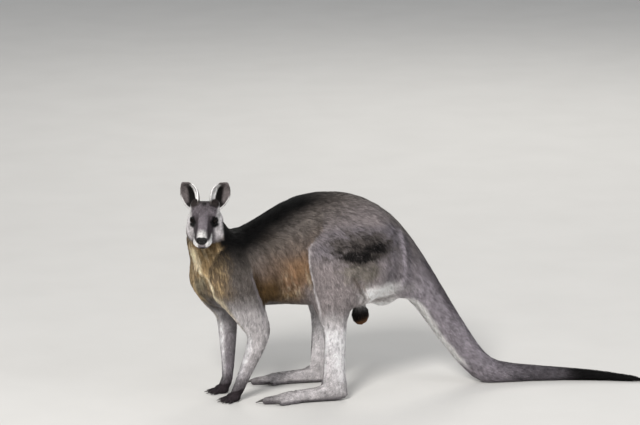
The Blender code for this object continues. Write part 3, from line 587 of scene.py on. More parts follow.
def paint_trunk(c):
    """Grey-brown sides that warm and lighten downwards, painted light and shade on the folds before the
    thigh, painted shade between arm and thigh and under the belly, and a paler rump.
    """
    x, z, wander, trunk, paint = c.x, c.z, c.wander, c.trunk, c.paint
    paint(trunk, GREY_BROWN * 1.04)
    paint(trunk * ramp(c.below, 0.06, 0.20), BROWN * 1.02)
    paint(trunk * ramp(x + 0.02 * wander, 0.03, 0.24), RUMP_GREY)
    warm = ramp(z + 0.015 * wander, 0.610, 0.510) * span(x, -0.29, -0.16, -0.05, 0.02)
    paint(trunk * warm * (0.45 + 0.50 * ramp(x, -0.20, -0.11)), OCHRE)
    low = span(x, -0.30, -0.24, 0.0, 0.10)
    paint(trunk * low * ramp(z, 0.455, 0.41) * 0.8, STRAW)
    folds = streaks(c.points, (0.12, 0, -1), 0.0065, 0.06, 70)
    by_thigh = trunk * span(x, -0.21, -0.13, -0.08, -0.02) * ramp(z, 0.56, 0.45)
    # Painted light on the crests of the folds before the thigh, and painted shade in their hollows.
    paint(by_thigh * ramp(folds, 0.05, 0.5) * 0.65, CREAM * 0.7)
    paint(by_thigh * ramp(folds, -0.05, -0.5) * 0.75, UMBER * 0.8)
    # Painted shade on the lower belly between arm and thigh.
    paint(trunk * span(x, -0.40, -0.34, -0.205, -0.15) * ramp(z, 0.52, 0.45) * 0.95, UMBER * 0.85)
    # Painted shade on the trunk just behind the arm's rear edge.
    shade_behind_arm = ramp(c.behind_rear, 0.030, 0.004) * ramp(x, -0.36, -0.30) * ramp(z, 0.56, 0.48)
    paint(trunk * shade_behind_arm * 0.85, UMBER * 0.45)
    # Painted shade in the groove just in front of the thigh's edge.
    groove = span(c.behind_thigh, -0.014, -0.002, 0.001, 0.004) * ramp(z, 0.60, 0.44)
    paint(trunk * groove * 0.85, UMBER * 0.5)
    # Painted shade on the downward-facing underside of the belly.
    paint(trunk * low * ramp(c.normals[:, 2], -0.35, -0.8) * 0.75, UMBER * 0.7)
    paint(c.on("rump") * ramp(z + 0.008 * wander, 0.460, 0.410) * ramp(c.side, 0.12, 0.09), WHITE * 1.3)


def paint_haunches(c):
    """Lavender grey inside a crisp front edge, with a dark ruffled patch on the hip and white below."""
    x, z, points, wander, haunch, paint = c.x, c.z, c.points, c.wander, c.haunch, c.paint
    inside = haunch * ramp(c.behind_thigh, -0.001, 0.003) * ramp(z, 0.700, 0.655)
    paint(c.thigh, WARM_GREY)
    paint(inside, WARM_GREY)
    paint(inside * ramp(z + 0.01 * wander, 0.52, 0.62) * 0.9, LAVENDER * 0.74)
    paint(inside * ramp(x, 0.16, 0.26) * 0.7, LAVENDER * 1.05)
    rough = 0.35 * noise(points * (1, 1, 2.2), 0.028, 5) + 0.22 * noise(points * (1, 1, 2.6), 0.012, 6)
    rough += 0.22 * noise(points * (1, 1, 1.6), 0.0045, 7)
    matted = streaks(points, (1, 0, -0.15), 0.006, 0.045, 73)
    lower = np.hypot((x - 0.115) / 0.085, (z - 0.515) / 0.060)
    paint(c.thigh * ramp(lower + rough, 1.15, 0.5) * 0.65, OLIVE_GREY * 0.85)
    paint(c.thigh * ruffled(points) * 0.65, GREY_BROWN * 0.75)
    patch = np.hypot((x - 0.122) / 0.120, (z - 0.598) / 0.048) + 1.3 * rough
    paint(haunch * ramp(patch, 1.35, 0.70) * 0.75, GREY_BROWN * 0.55)
    paint(haunch * ramp(patch, 1.25, 0.75) * ramp(matted, -0.1, 0.35) * 0.85, CHARCOAL)
    core = np.minimum(np.hypot((x - 0.102) / 0.064, (z - 0.574 + 0.20 * (x - 0.102)) / 0.017),
                      np.hypot((x - 0.168) / 0.046, (z - 0.598) / 0.016))
    paint(haunch * ramp(core + 1.1 * rough + 0.3 * matted, 1.45, 0.70) * 0.9, BLACK * 0.8)
    ragged = z + 0.008 * wander + 0.010 * noise(points, 0.012, 8)
    vent = ramp(x, 0.09, 0.14) * ramp(ragged, 0.470, 0.420) * (1 - 0.4 * ramp(x, 0.24, 0.32))
    paint(haunch * vent, WHITE * 1.2)
    # Painted shade in two creases low on the haunch, next to the white vent.
    shaded_crease = x - 0.5 * (z - 0.49) - np.interp(z, [0.40, 0.49], [0.180, 0.092]) + 0.006 * wander
    paint(haunch * bump(shaded_crease, 0, 0.010) * ramp(z, 0.51, 0.48) * 0.85, UMBER * 0.45)
    paint(haunch * bump(shaded_crease, 0.020, 0.004) * ramp(z, 0.47, 0.45) * 0.5, UMBER)
    # A silver line where hip meets tail, pale fur that also stands for a painted highlight, and painted shade
    # in the groove just beyond it on the tail.
    line = hip_line(x, z)
    hip = c.on("rump", "leg_thigh", "tail_root") * ramp(c.side, 0.035, 0.065)
    hip *= span(z, 0.40, 0.45, 0.62, 0.67)
    paint(hip * bump(line, 0.021, 0.014) * 0.9, LAVENDER * 0.38)
    paint(hip * bump(line + 0.002 * wander, 0, 0.009) * 0.95, LAVENDER * 1.8)


def paint_lower_legs(c):
    """Silver shanks and feet, the pale front edge of thigh and shank that also stands for a painted
    highlight, and painted shade on the far shank and along the foot's lowest edge.
    """
    x, z, paint = c.x, c.z, c.paint
    height = z + 0.012 * c.wander
    shank, foot = c.on("leg_shank"), c.on("foot")
    paint(shank, WARM_GREY)
    paint(shank * ramp(height, 0.385, 0.310), PALE_GREY * 0.92)
    paint(shank * ramp(height, 0.320, 0.250), SILVER * 1.06)
    # Pale fur along the front edge of thigh and shank, painted brighter as the highlight on that edge.
    edge = bump(c.behind_thigh, 0.003, 0.0040) * ramp(z, 0.655, 0.615) * (0.55 + 0.30 * ramp(z, 0.50, 0.44))
    paint((c.haunch + shank) * edge, PALE_GREY)
    paint(foot, PALE_GREY * 0.88)
    # Painted shade: the far shank darker than the near one.
    paint(c.on("leg_right_shank") * 0.7, PALE_GREY * 0.8)
    # Painted shade along the foot's lowest edge, next to the floor.
    paint(foot * ramp(z, 0.022, 0.008) * 0.8, LAVENDER * 0.6)
    paint(foot * ramp(x, -0.17, -0.235) * 0.55, FACE_DARK)


def paint_chest(c):
    """Tawny and gold chest and neck, cream in front, with painted shade in an olive hollow between the
    shoulders and low between the arms.
    """
    x, y, z, chest, paint = c.x, c.y, c.z, c.chest, c.paint
    facing = c.normals[:, 0]
    ahead = ramp(x, -0.345, -0.43) + 0.4 * ramp(facing, -0.1, -0.6)
    streak = streaks(c.points, (0.3, 0, -0.95), 0.008, 0.07, 71)
    paint(chest * ahead * ramp(z, 0.68, 0.62), TAWNY)
    paint(chest * ahead * ramp(z, 0.66, 0.60) * ramp(streak, 0.0, 0.5) * 0.8, GOLD)
    # Painted shade: olive grey in the hollow between the shoulders.
    middle_line = np.interp(z, [0.42, 0.50, 0.60], [-0.068, -0.070, -0.030])
    between = ramp(np.abs(y - middle_line) + 0.004 * c.wander, 0.024, 0.012) * ramp(z, 0.515, 0.480)
    paint(chest * between * 0.95, OLIVE_GREY * 1.35)
    # Painted shade at the bottom of the chest between the arms.
    armpit_shade = ramp(c.side, 0.095, 0.085) * ramp(z, 0.420, 0.400) * ramp(x, -0.475, -0.460)
    paint(chest * armpit_shade, UMBER * 0.25)
    collar = bump(c.behind_front, 0.013, 0.016) * span(z, 0.45, 0.49, 0.56, 0.60)
    paint(chest * collar * 0.85, GOLD * 1.5)
    paint(chest * bump(y, -0.046 - 0.15 * (z - 0.45), 0.006) * ramp(z, 0.51, 0.48) * 0.7, CREAM * 0.8)
    paint(c.neck * ramp(facing, 0.1, -0.4) * 0.8, TAWNY)
    paint(c.neck * ramp(facing, -0.1, -0.6) * ramp(streak, 0.05, 0.5) * 0.8, CREAM * 0.75)


def paint_arms(c):
    """Dark shoulders with a golden front and a cream edge that also stands for a painted highlight, painted
    shade where the arms meet the body and on the far forearm's back, pale forearms and dark hands.
    """
    x, y, z, upper, paint = c.x, c.y, c.z, c.upper, c.paint
    facing, height, both = c.normals[:, 0], z + 0.01 * c.wander, upper + c.chest
    paint(upper, GREY_BROWN * 0.66)
    paint(upper * ramp(height, 0.59, 0.47), GREY_BROWN * 0.86)
    fine = streaks(c.points, (0.3, 0, -0.95), 0.0045, 0.030, 72)
    golden = upper * ramp(x + 0.015 * c.wander, -0.345, -0.425) * ramp(z, 0.39, 0.44)
    paint(golden * (0.55 + 0.35 * ramp(fine, -0.3, 0.4)), TAWNY)
    paint(golden * ramp(fine, 0.0, 0.5) * 0.55, GOLD)
    # Painted shade just ahead of the arm's front edge, low between the arms.
    paint(both * ramp(c.behind_front, -0.002, -0.007) * ramp(z, 0.430, 0.410) * c.beside, UMBER * 0.2)
    paint(upper * ramp(height, 0.45, 0.32), PALE_GREY * 0.88)
    far = ramp(y, -0.060, -0.025) * ramp(x, -0.415, -0.450) * span(z, 0.375, 0.410, 0.52, 0.56)
    paint(both * far * (0.45 + 0.4 * ramp(fine, -0.3, 0.4)), GOLD * 1.15)
    # Cream along the arm's front edge and on its front-facing side: pale fur, painted brighter as the
    # highlight there.
    pale_fur_and_highlight = bump(c.behind_front + 0.003 * c.wander, 0, 0.005 + 0.008 * ramp(z, 0.51, 0.56))
    pale_fur_and_highlight *= ramp(y, -0.025, -0.040) * span(z, 0.34, 0.38, 0.60, 0.615)
    paint(both * pale_fur_and_highlight * 0.95, CREAM * 1.05)
    paint(upper * ramp(facing, -0.55, -0.9) * ramp(z, 0.46, 0.40) * 0.8, CREAM)
    paint(upper * bump(c.behind_rear, -0.005, 0.006) * ramp(z, 0.54, 0.47) * 0.4, LAVENDER * 1.3)
    paint(upper * ramp(facing, 0.6, 0.92) * ramp(z, 0.46, 0.38) * 0.6, PALE_GREY)
    # Painted shade on the upper arm's side that faces the body.
    inner = ramp(c.normals[:, 1] * np.sign(y), -0.2, -0.7)
    paint(upper * inner * ramp(z, 0.31, 0.35) * 0.9, UMBER * 0.45)
    fore, hand = c.on("arm_fore"), c.on("hand")
    paint(fore, PALE_GREY)
    paint(fore * ramp(facing, -0.2, -0.8) * 0.7, SILVER)
    # Painted shade on the back of the far forearm.
    paint(c.on("arm_right_fore") * ramp(facing, -0.8, -0.2) * 0.85, LAVENDER * 0.75)
    paint(fore * ramp(height, 0.21, 0.10) * 0.45, LAVENDER * 1.2)
    paint(hand, FACE_DARK * 0.55)
    paint((fore + hand) * ramp(z + 0.008 * c.wander, 0.120, 0.040) * 0.85, FACE_DARK * 0.75)


def paint_tail(c):
    """Lavender grey, darker along its top, with a cream rim below and a black end."""
    x, z, tail, paint = c.x, c.z, c.on("tail"), c.paint
    turned, length = c.normals[:, 0] + c.normals[:, 2], x + 0.03 * c.wander
    paint(tail, LAVENDER * 1.05)
    paint(c.on("tail_root"), LAVENDER * 1.4)
    paint(tail * ramp(turned, 0.5, 1.15) * ramp(z, 0.05, 0.15) * 0.75, FACE_DARK * 1.4)
    paint(tail * span(x, 0.48, 0.57, 0.64, 0.72), LAVENDER * 1.35)
    paint(tail * ramp(turned + 0.15 * c.wander, -0.62, -1.12) * ramp(z, 0.05, 0.12) * 0.95, WHITE * 0.92)
    paint(tail * ramp(length, 0.66, 0.82) * 0.80, LAVENDER * 0.36)
    paint(tail * ramp(length, 0.86, 1.04) * (0.6 + 0.4 * ramp(x, 0.90, 1.0)), BLACK)


def paint_scrotum(c):
    """Dark skin, rust brown below."""
    scrotum = c.on("scrotum")
    c.paint(scrotum, SKIN_DARK)
    height = c.z - 0.35 * (c.x - 0.158) + 0.004 * c.wander
    c.paint(scrotum * ramp(height, 0.294, 0.262) * 0.85, RUST * 1.5)


def paint_ridge(c):
    """The black that runs from the nape over the top of the back."""
    x, z, seen = c.x, c.z, c.seen
    band = np.interp(x, [-0.45, -0.33, -0.25, -0.18, -0.10, 0.00, 0.12],
                     [0.085, 0.082, 0.066, 0.052, 0.036, 0.018, 0.002])
    ridge = (c.trunk + c.upper) * ramp(c.below / band, 1.90, 0.30) * ramp(x, 0.12, -0.10)
    nape = np.maximum(ramp(seen, -0.388, -0.370), ramp(c.normals[:, 0], 0.15, 0.6)) * c.neck
    nape += ramp(seen, -0.370, -0.360) * c.on("head")
    c.paint(nape * ramp(z, 0.595, 0.625) + ridge, BLACK * 0.4)


def paint_face(c, head):
    """Grey, with pale cheeks, a light bridge and dark surrounds to the eyes."""
    f, l, u = head.T
    side, face, paint = np.abs(l), c.on("head", "nose"), c.paint
    paint(face, FACE_GREY)
    # Forehead darker towards the crown, with a tuft of black in its middle.
    paint(face * ramp(u, 0.022, 0.048) * 0.65, FACE_GREY * 0.62)
    paint(face * ramp(f, -0.02, -0.05) * ramp(u, 0.02, 0.045) * 0.6, CHARCOAL * 2.0)
    paint(face * ramp(side, 0.011, 0.004) * bump(f, -0.036, 0.011) * ramp(u, 0.03, 0.045) * 0.9, BLACK)
    # Pale sides of the face from the ears down over the cheeks, then painted shade under the jaw.
    flank = ramp(f, 0.035, -0.005)
    paint(face * ramp(side, 0.030, 0.046) * flank * ramp(u, 0.034, 0.020) * 0.7, PALE_GREY * 0.8)
    paint(face * ramp(side, 0.044, 0.056) * flank * ramp(u, 0.040, 0.028) * 0.8, WHITE * 0.8)
    before_ear = ramp(side, 0.014, 0.024) * ramp(u, 0.030, 0.040) * ramp(f, -0.022, -0.034)
    paint(face * before_ear * 0.85, EAR_DARK * 1.6)
    cheek = ramp(side, 0.030, 0.045) * ramp(u, 0.005, -0.015) * ramp(f, 0.06, 0.02)
    paint(face * cheek * 0.85, PALE_GREY * 1.05)
    # Painted shade under the jaw.
    paint(face * ramp(u + 0.25 * f, -0.048, -0.064) * ramp(f, 0.07, 0.02) * 0.85, UMBER * 0.6)
    paint(face * ramp(f, -0.058, -0.080) * 0.9, CHARCOAL)
    # A light bridge between dark bands that run from the eyes to the nose.
    band = ramp(f, 0.000, 0.030) * span(side, 0.014, 0.021, 0.031, 0.042) * ramp(u, -0.030, -0.010)
    paint(face * band * 0.85, FACE_DARK * 0.62)
    bridge = ramp(f, 0.005, 0.040) * ramp(side, 0.020, 0.012) * ramp(u, 0.0, 0.012)
    paint(face * bridge * 0.40, LAVENDER * 1.05)
    # Dark round the eyes, longest above and towards the nose.
    for eye_side in SIDES:
        radius, opening = eye_opening(head, eye_side)[:2]
        close = face * ramp(radius, 0.033, 0.022)
        paint(close * ramp(opening, 1.85, 1.30) * 0.95, FACE_DARK * 0.15)
        patch = np.hypot((l * eye_side - 0.032) / 0.0145, (u - 0.011) / 0.0150)
        paint(face * ramp(patch, 1.15, 0.75) * ramp(f, 0.045, 0.030) * 0.92, BLACK * 0.5)
        paint(close * ramp(opening, 1.60, 1.30), BLACK * 0.2)


def paint_muzzle(c, head):
    """White above the nose and on the front of the lips, dark where the lips meet."""
    f, l, u = head.T
    side, face, paint = np.abs(l), c.on("head", "nose"), c.paint
    paint(face * ramp(f, 0.076, 0.104) * ramp(side, 0.024, 0.011) * ramp(u, 0.004, 0.013), WHITE * 0.62)
    above = u - mouth_height(f)
    upper_lip = span(above, 0.001, 0.003, 0.020, 0.033)
    paint(face * ramp(f, 0.040, 0.070) * upper_lip * 0.30, PALE_GREY)
    paint(face * ramp(f, 0.055, 0.075) * upper_lip * ramp(side, 0.010, 0.017), WHITE * 1.1)
    under_nose = ramp(f, 0.095, 0.110) * ramp(above, 0.010, 0.006) * ramp(side, 0.016, 0.009)
    paint(face * under_nose * 0.7, FACE_GREY)
    paint(face * ramp(f, 0.045, 0.070) * ramp(above, -0.002, -0.006) * 0.9, PALE_GREY * 0.85)
    paint(face * ramp(f, 0.045, 0.060) * ramp(np.abs(above), 0.0026, 0.0012) * 0.9, BLACK)
    chin = ramp(f, 0.098, 0.108) * span(above, -0.012, -0.007, -0.002, 0.001) * ramp(side, 0.014, 0.007)
    paint(face * chin, BLACK * 1.5)
    paint(face * nose_pad(head), BLACK * 1.3)


EAR_LENGTH, EAR_HALF_WIDTH = 0.104, 0.044
EARS = ((1, "ear_left"), (-1, "ear_right"))


def ear_axis(side):
    return unit(Z * 0.88 + LEFT * side * 0.49 - LEVEL * 0.06)


def ear_place(head, side):
    """How far up the ear a point is, how far across, and which way its hollow faces there.

    Up runs from 0 to 1, and across is 1 at the inner edge.
    """
    axis = ear_axis(side)
    facing = LEVEL * 0.88 + LEFT * side * 0.42
    facing = unit(facing - axis * facing.dot(axis))
    inner = np.cross(facing, axis)
    inner = inner if inner @ (LEFT * -side) > 0 else -inner
    off = from_head(head) - from_head([-0.052, 0.040 * side, 0.036])
    t = np.clip((off @ axis + 0.012) / EAR_LENGTH, 0, 1)
    width = EAR_HALF_WIDTH * (0.42 + 0.58 * np.sin(np.pi * (0.12 + 0.80 * t) ** 0.9))
    width *= np.sqrt(np.maximum(0.03, 1 - t**4))
    curl = np.radians(108 - 64 * t)
    radius = width / curl * (1.15 + 0.2 * t)
    sideways = off @ inner
    depth = 0.35 * radius - 0.008 * np.sin(np.pi * t) - off @ facing
    toward = -np.outer(sideways, inner) + np.outer(depth, facing)
    return t, np.arctan2(sideways, depth) / curl, unit(toward)


def paint_ears(c, head):
    """Grey hollows with painted shade in a dark wedge and at their base, and a white band along the inner
    edge.
    """
    for side, name in EARS:
        ear = c.on(name)
        t, across, toward = ear_place(head, side)
        hollow = ramp(np.sum(toward * c.normals, axis=1), -0.1, 0.3)
        c.paint(ear, GREY_BROWN * 0.62)
        c.paint(ear * hollow, EAR_GREY * 1.45)
        # Painted shade deep in the ear's hollow: a dark wedge and the hollow's base.
        wedge = ramp(across + 0.78 - 0.7 * t, -0.12, 0.18) * ramp(t, 0.92, 0.68)
        c.paint(ear * hollow * wedge, EAR_DARK * 0.2)
        c.paint(ear * hollow * ramp(t, 0.34, 0.22) * 0.9, EAR_DARK * 0.4)
        band = ramp(across - 0.5 * t, -0.12, 0.02) * span(t, 0.14, 0.24, 0.74, 0.86)
        c.paint(ear * np.maximum(hollow, ramp(across, 0.80, 0.95)) * band, WHITE)
        c.paint(ear * ramp(across, -0.88, -0.97) * ramp(t, 0.70, 0.48) * 0.9, WHITE * 0.8)


def markings(part, points, normals, under):
    """The colour of the coat at each place, painted over the colour given."""
    c = Canvas(part, points, normals, under)
    for paint_region in (paint_trunk, paint_haunches, paint_lower_legs, paint_chest, paint_arms, paint_tail):
        paint_region(c)
    # Painted shade on the neck under the head.
    c.paint(c.neck * ramp(c.z, 0.585, 0.630) * ramp(c.seen, -0.450, -0.410) * 0.75, UMBER * 0.55)
    paint_scrotum(c)
    head = to_head(points)
    paint_face(c, head)
    paint_muzzle(c, head)
    paint_ears(c, head)
    paint_ridge(c)
    return c.colour


# ---- The finished skin ------------------------------------------------------------------------
def blurred(values, mean, rounds):
    """Values at the skin's vertices, each drawn towards its neighbours."""
    for _ in range(rounds):
        values = 0.5 * values + 0.5 * mean(values)
    return values


def creases(points, part):
    """How near each place is to the grooves at thigh and arm, and how deep the skin is drawn in there."""
    x, y, z = (points + DRAWN).T
    beside = ramp(np.abs(y), 0.06, 0.09)
    thigh, front, rear = edges(points)
    trunk = named(part, "belly", "rump", "chest", "neck") * beside
    upright = ramp(z, 0.66, 0.61) * named(part, "belly", "rump", "leg_thigh") * beside
    by_thigh = span(thigh, -0.032, -0.003, -0.0015, 0.001) * upright
    by_front = span(front, -0.028, -0.003, -0.0015, 0.001) * trunk * ramp(z, 0.53, 0.48)
    by_rear = span(rear, -0.001, 0.0015, 0.003, 0.030) * trunk * ramp(z, 0.56, 0.50) * ramp(x, -0.2, -0.24)
    near = np.maximum.reduce([by_thigh, by_front, by_rear])
    depth = 0.012 * by_thigh + 0.009 * by_front + 0.010 * by_rear
    folds = streaks(points, (0.12, 0, -1), 0.0075, 0.09, 70)
    area = span(x, -0.21, -0.13, -0.08, -0.03) * ramp(z, 0.56, 0.46) * ramp(thigh, 0, -0.02)
    depth += 0.0030 * area * ramp(folds, 0.2, -0.5)
    depth += 0.010 * ramp(np.abs(y + 0.069), 0.024, 0.006) * ramp(z, 0.52, 0.47) * named(part, "chest")
    # The thigh's edge stands out a little.
    depth -= 0.004 * span(thigh, -0.001, 0.0015, 0.004, 0.040) * upright
    by_tail = bump(hip_line(x, z), 0.014, 0.008) * span(z, 0.42, 0.46, 0.61, 0.66)
    depth += 0.004 * by_tail * ramp(np.abs(y), 0.035, 0.065)
    return near, depth


def make_skin():
    """The skin's mesh, with what the coat needs to know at each of its vertices."""
    mesh = base_skin()
    mesh = subdivided(mesh, along_edges)
    mesh = subdivided(mesh, fine_face)
    mesh = smoothed(mesh, 6, ramp(near_head(points_of(mesh)), 0.16, 0.12) * 0.7)
    mesh = subdivided(mesh, finest_face)
    mesh = smoothed(mesh, 4, ramp(near_head(points_of(mesh)), 0.16, 0.12) * 0.5)
    points = points_of(mesh)
    normals = facing = normals_of(mesh)
    part = labels(points)
    mean = neighbours(mesh)
    head = to_head(points)
    on_head, on_ears = named(part, "head", "nose"), named(part, "ear")
    step, depth = creases(points, part)
    muzzle = on_head * ramp(head[:, 0], -0.02, 0.06)
    coat = COAT_OF[part] * (1 - np.outer(muzzle, [0.45, 0.50, 0.15]))
    coat[:, 0] *= 0.35 + 0.65 * ramp(near_eyes(head), 0.016, 0.030)
    # Soles and palms are bare, and the skin there stays on the floor.
    sole = named(part, "foot", "hand") * ramp(points[:, 2], 0.010, 0.003)
    coat = blurred(coat, mean, 14)
    coat[:, 0] *= 1 - sole
    coat[:, :2] *= 1 - 0.55 * step[:, None]
    lie = blurred(coat_lie(part, points, normals), mean, 24)
    lie[:, 0] *= 1 - 0.9 * step
    share = blurred(np.eye(len(FLESH), dtype=np.float32)[part], mean, 2)
    colour = markings(part, points, normals, np.zeros((len(points), 3)))
    crisp = np.maximum(on_head, on_ears)[:, None]
    colour = crisp * blurred(colour, mean, 1) + (1 - crisp) * blurred(colour, mean, 2)

    inner = points - normals * (coat[:, 0] + depth)[:, None]
    inner = np.where((on_head + on_ears + step > 0)[:, None], inner, 0.7 * inner + 0.3 * mean(inner))
    move(mesh, inner)
    inner = shape_face(inner, normals_of(mesh))
    inner[:, 2] = np.maximum(inner[:, 2], FLOOR_GAP)
    move(mesh, inner)
    normals = normals_of(mesh)
    return SimpleNamespace(mesh=mesh, points=inner, normals=normals, part=part, coat=coat, outer=points,
                           facing=facing, share=share, lie=along_skin(lie, normals), colour=colour,
                           ruffle=ruffled(points))


def unwrap(mesh):
    """An unwrap of the skin's own shape, used by skin and coat alike."""
    obj = bpy.data.objects.new("unwrapped", mesh)
    scene.collection.objects.link(obj)
    bpy.context.view_layer.objects.active = obj
    obj.select_set(True)
    mesh.uv_layers.new(name="OFBake")
    bpy.ops.object.mode_set(mode="EDIT")
    bpy.ops.mesh.select_all(action="SELECT")
    bpy.ops.uv.smart_project(angle_limit=math.radians(66), island_margin=0.002)
    bpy.ops.object.mode_set(mode="OBJECT")
    bpy.data.objects.remove(obj)


# ---- Materials --------------------------------------------------------------------------------
def new_material(name):
    made = bpy.data.materials.new(name)
    made.use_nodes = True
    return made, made.node_tree, made.node_tree.nodes["Principled BSDF"]


def attribute(tree, name):
    node = tree.nodes.new("ShaderNodeAttribute")
    node.attribute_name = name
    return node


def place_in(tree):
    """Each place in the piece's own coordinates."""
    return tree.nodes.new("ShaderNodeTexCoord").outputs["Object"]


def set_inputs(node, **values):
    """Sets a node's inputs by their names, with _ for a space."""
    for key, value in values.items():
        node.inputs[key.replace("_", " ")].default_value = value


def texture(tree, kind, vector, **values):
    """A node that reads a place, with its inputs set."""
    node = tree.nodes.new(kind)
    tree.links.new(vector, node.inputs["Vector"])
    set_inputs(node, **values)
    return node


def mapped(tree, value, low, high, to_low, to_high):
    node = tree.nodes.new("ShaderNodeMapRange")
    tree.links.new(value, node.inputs["Value"])
    set_inputs(node, From_Min=low, From_Max=high, To_Min=to_low, To_Max=to_high)
    return node.outputs["Result"]


def grain(tree, vector, low, high, **values):
    """A number between low and high that varies with fine noise."""
    speckle = texture(tree, "ShaderNodeTexNoise", vector, **values)
    return mapped(tree, speckle.outputs["Fac"], 0.3, 0.7, low, high)


def colour_ramp(tree, value, *stops):
    """A colour by a value. Each stop is a position and its colour."""
    node = tree.nodes.new("ShaderNodeValToRGB")
    tree.links.new(value, node.inputs["Fac"])
    elements = node.color_ramp.elements
    for element, (position, colour) in zip(elements, (stops[0], stops[-1])):
        element.position, element.color = position, (*colour, 1)
    for position, colour in stops[1:-1]:
        elements.new(position).color = (*colour, 1)
    return node.outputs["Color"]


def shaded(tree, shader, factor):
    """Gives the shader the painted colour times a number."""
    colour = attribute(tree, "Coat").outputs["Color"]
    node = tree.nodes.new("ShaderNodeVectorMath")
    node.operation = "SCALE"
    tree.links.new(colour, node.inputs[0])
    tree.links.new(factor, node.inputs["Scale"])
    tree.links.new(node.outputs["Vector"], shader.inputs["Base Color"])


def math_node(tree, operation, a, b):
    """One sum of two numbers or node outputs."""
    node = tree.nodes.new("ShaderNodeMath")
    node.operation = operation
    for slot, value in zip(node.inputs, (a, b)):
        if isinstance(value, (int, float)):
            slot.default_value = value
        else:
            tree.links.new(value, slot)
    return node.outputs["Value"]


def bumped(tree, shader, height, strength, distance):
    node = tree.nodes.new("ShaderNodeBump")
    set_inputs(node, Strength=strength, Distance=distance)
    tree.links.new(height, node.inputs["Height"])
    tree.links.new(node.outputs["Normal"], shader.inputs["Normal"])


def skin_material():
    """Short flat fur that follows the lie of the coat, and bare leather on nose, lids and soles."""
    made, tree, shader = new_material("skin")
    fur_at, bare = attribute(tree, "fur_at").outputs["Vector"], attribute(tree, "bare").outputs["Fac"]
    hairs = texture(tree, "ShaderNodeTexNoise", fur_at, Scale=900.0, Detail=3.0, Roughness=0.6)
    hair_shade = mapped(tree, hairs.outputs["Fac"], 0.25, 0.75, 0.62, 1.30)
    tuft_shade = grain(tree, fur_at, 0.82, 1.16, Scale=260.0, Detail=2.0)
    pebbles = texture(tree, "ShaderNodeTexVoronoi", place_in(tree), Scale=1100.0)
    fur = math_node(tree, "MULTIPLY", hair_shade, tuft_shade)
    leather = mapped(tree, pebbles.outputs["Distance"], 0.0, 0.6, 1.25, 0.75)
    mix = tree.nodes.new("ShaderNodeMix")
    tree.links.new(bare, mix.inputs["Factor"])
    tree.links.new(fur, mix.inputs["A"])
    tree.links.new(leather, mix.inputs["B"])
    shaded(tree, shader, mix.outputs["Result"])
    tree.links.new(mapped(tree, bare, 0, 1, 0.85, 0.36), shader.inputs["Roughness"])
    set_inputs(shader, Specular_IOR_Level=0.30)
    bumped(tree, shader, mix.outputs["Result"], 0.5, 0.0006)
    return made


def coat_material():
    """The painted colour of each hair, finely speckled."""
    made, tree, shader = new_material("coat")
    shaded(tree, shader, grain(tree, place_in(tree), 0.80, 1.20, Scale=420.0, Detail=2.0))
    set_inputs(shader, Roughness=0.72, Specular_IOR_Level=0.10, Sheen_Weight=0.03)
    return made


SKIN_LOOK, COAT_LOOK = skin_material(), coat_material()


# ---- The coat ---------------------------------------------------------------------------------
# Pieces of the coat: slot, and how the names of the solids under it start.
COAT_PIECES = {
    "coat_head": ("grey_fur", "head", "nose", "ear"),
    "coat_neck_chest": ("chest_fur", "neck", "chest"),
    "coat_belly_left": ("grey_fur", "belly"),
    "coat_belly_right": ("grey_fur", "belly"),
    "coat_rump": ("grey_fur", "rump", "scrotum"),
    "coat_thigh_left": ("grey_fur", "leg_left_thigh"),
    "coat_thigh_right": ("grey_fur", "leg_right_thigh"),
    "coat_arm_left": ("grey_fur", "arm_left", "hand_left"),
    "coat_arm_right": ("grey_fur", "arm_right", "hand_right"),
    "coat_shank_left": ("silver_fur", "leg_left_shank", "foot_left"),
    "coat_shank_right": ("silver_fur", "leg_right_shank", "foot_right"),
    "coat_tail": ("grey_fur", "tail_root", "tail_middle"),
    "coat_tail_end": ("dark_fur", "tail_ground", "tail_tip"),
}


def roots(data, triangles):
    """Evenly spread places on the skin: the triangle of each and its weights there."""
    a, b, c = data.points[triangles].transpose(1, 0, 2)
    area = np.linalg.norm(np.cross(b - a, c - a), axis=1) / 2
    spacing = data.coat[:, 2][triangles].mean(axis=1)
    bare = data.bare[triangles].mean(axis=1)
    total = np.cumsum(area / spacing**2 * (bare < 0.4))
    places = np.arange(0.5, total[-1])
    places += random.uniform(-0.35, 0.35, len(places))
    which = np.clip(np.searchsorted(total, places), 0, len(triangles) - 1)
    r, t = np.sqrt(random.random(len(which))), random.random(len(which))
    return which, np.column_stack([1 - r, r * (1 - t), r * t])


def clump_pull(points, normals, size, seed):
    """Along the skin towards the middle of the lock that a point belongs to, and a number for that lock."""
    warped = points + size * 0.55 * np.column_stack([noise(points, size * 1.1, seed + k) for k in range(3)])
    cell = np.floor(warped / size).astype(np.int64)
    centre = (cell + 0.25 + 0.5 * np.column_stack([lattice(cell, seed + 7 + k) for k in range(3)])) * size
    pull = centre - warped
    return pull - normals * np.sum(pull * normals, axis=1, keepdims=True), lattice(cell, seed + 20)


def strand_shade(points, part):
    """Streaks that follow the lie of the coat, from about -1 to 1."""
    drawn = points + DRAWN
    flank = streaks(drawn, (0.35, 0, -0.94), 0.007, 0.08, 60)
    limb = streaks(drawn, (0.1, 0, -1), 0.006, 0.03, 61)
    tail = streaks(drawn, (0.52, 0, -0.85), 0.006, 0.04, 62)
    trunk = named(part, "belly", "chest", "neck")
    on_tail = named(part, "tail", "rump")
    return 1.6 * trunk * flank + on_tail * tail + (1 - trunk - on_tail) * limb


LOCK_SIZE, FINE_LOCK_SIZE = 0.016, 0.006
ROOT_DEPTH, COAT_FLOOR_GAP = 0.0003, 0.0004
UV_PATCH, UV_MARGIN = 0.003, 0.0005
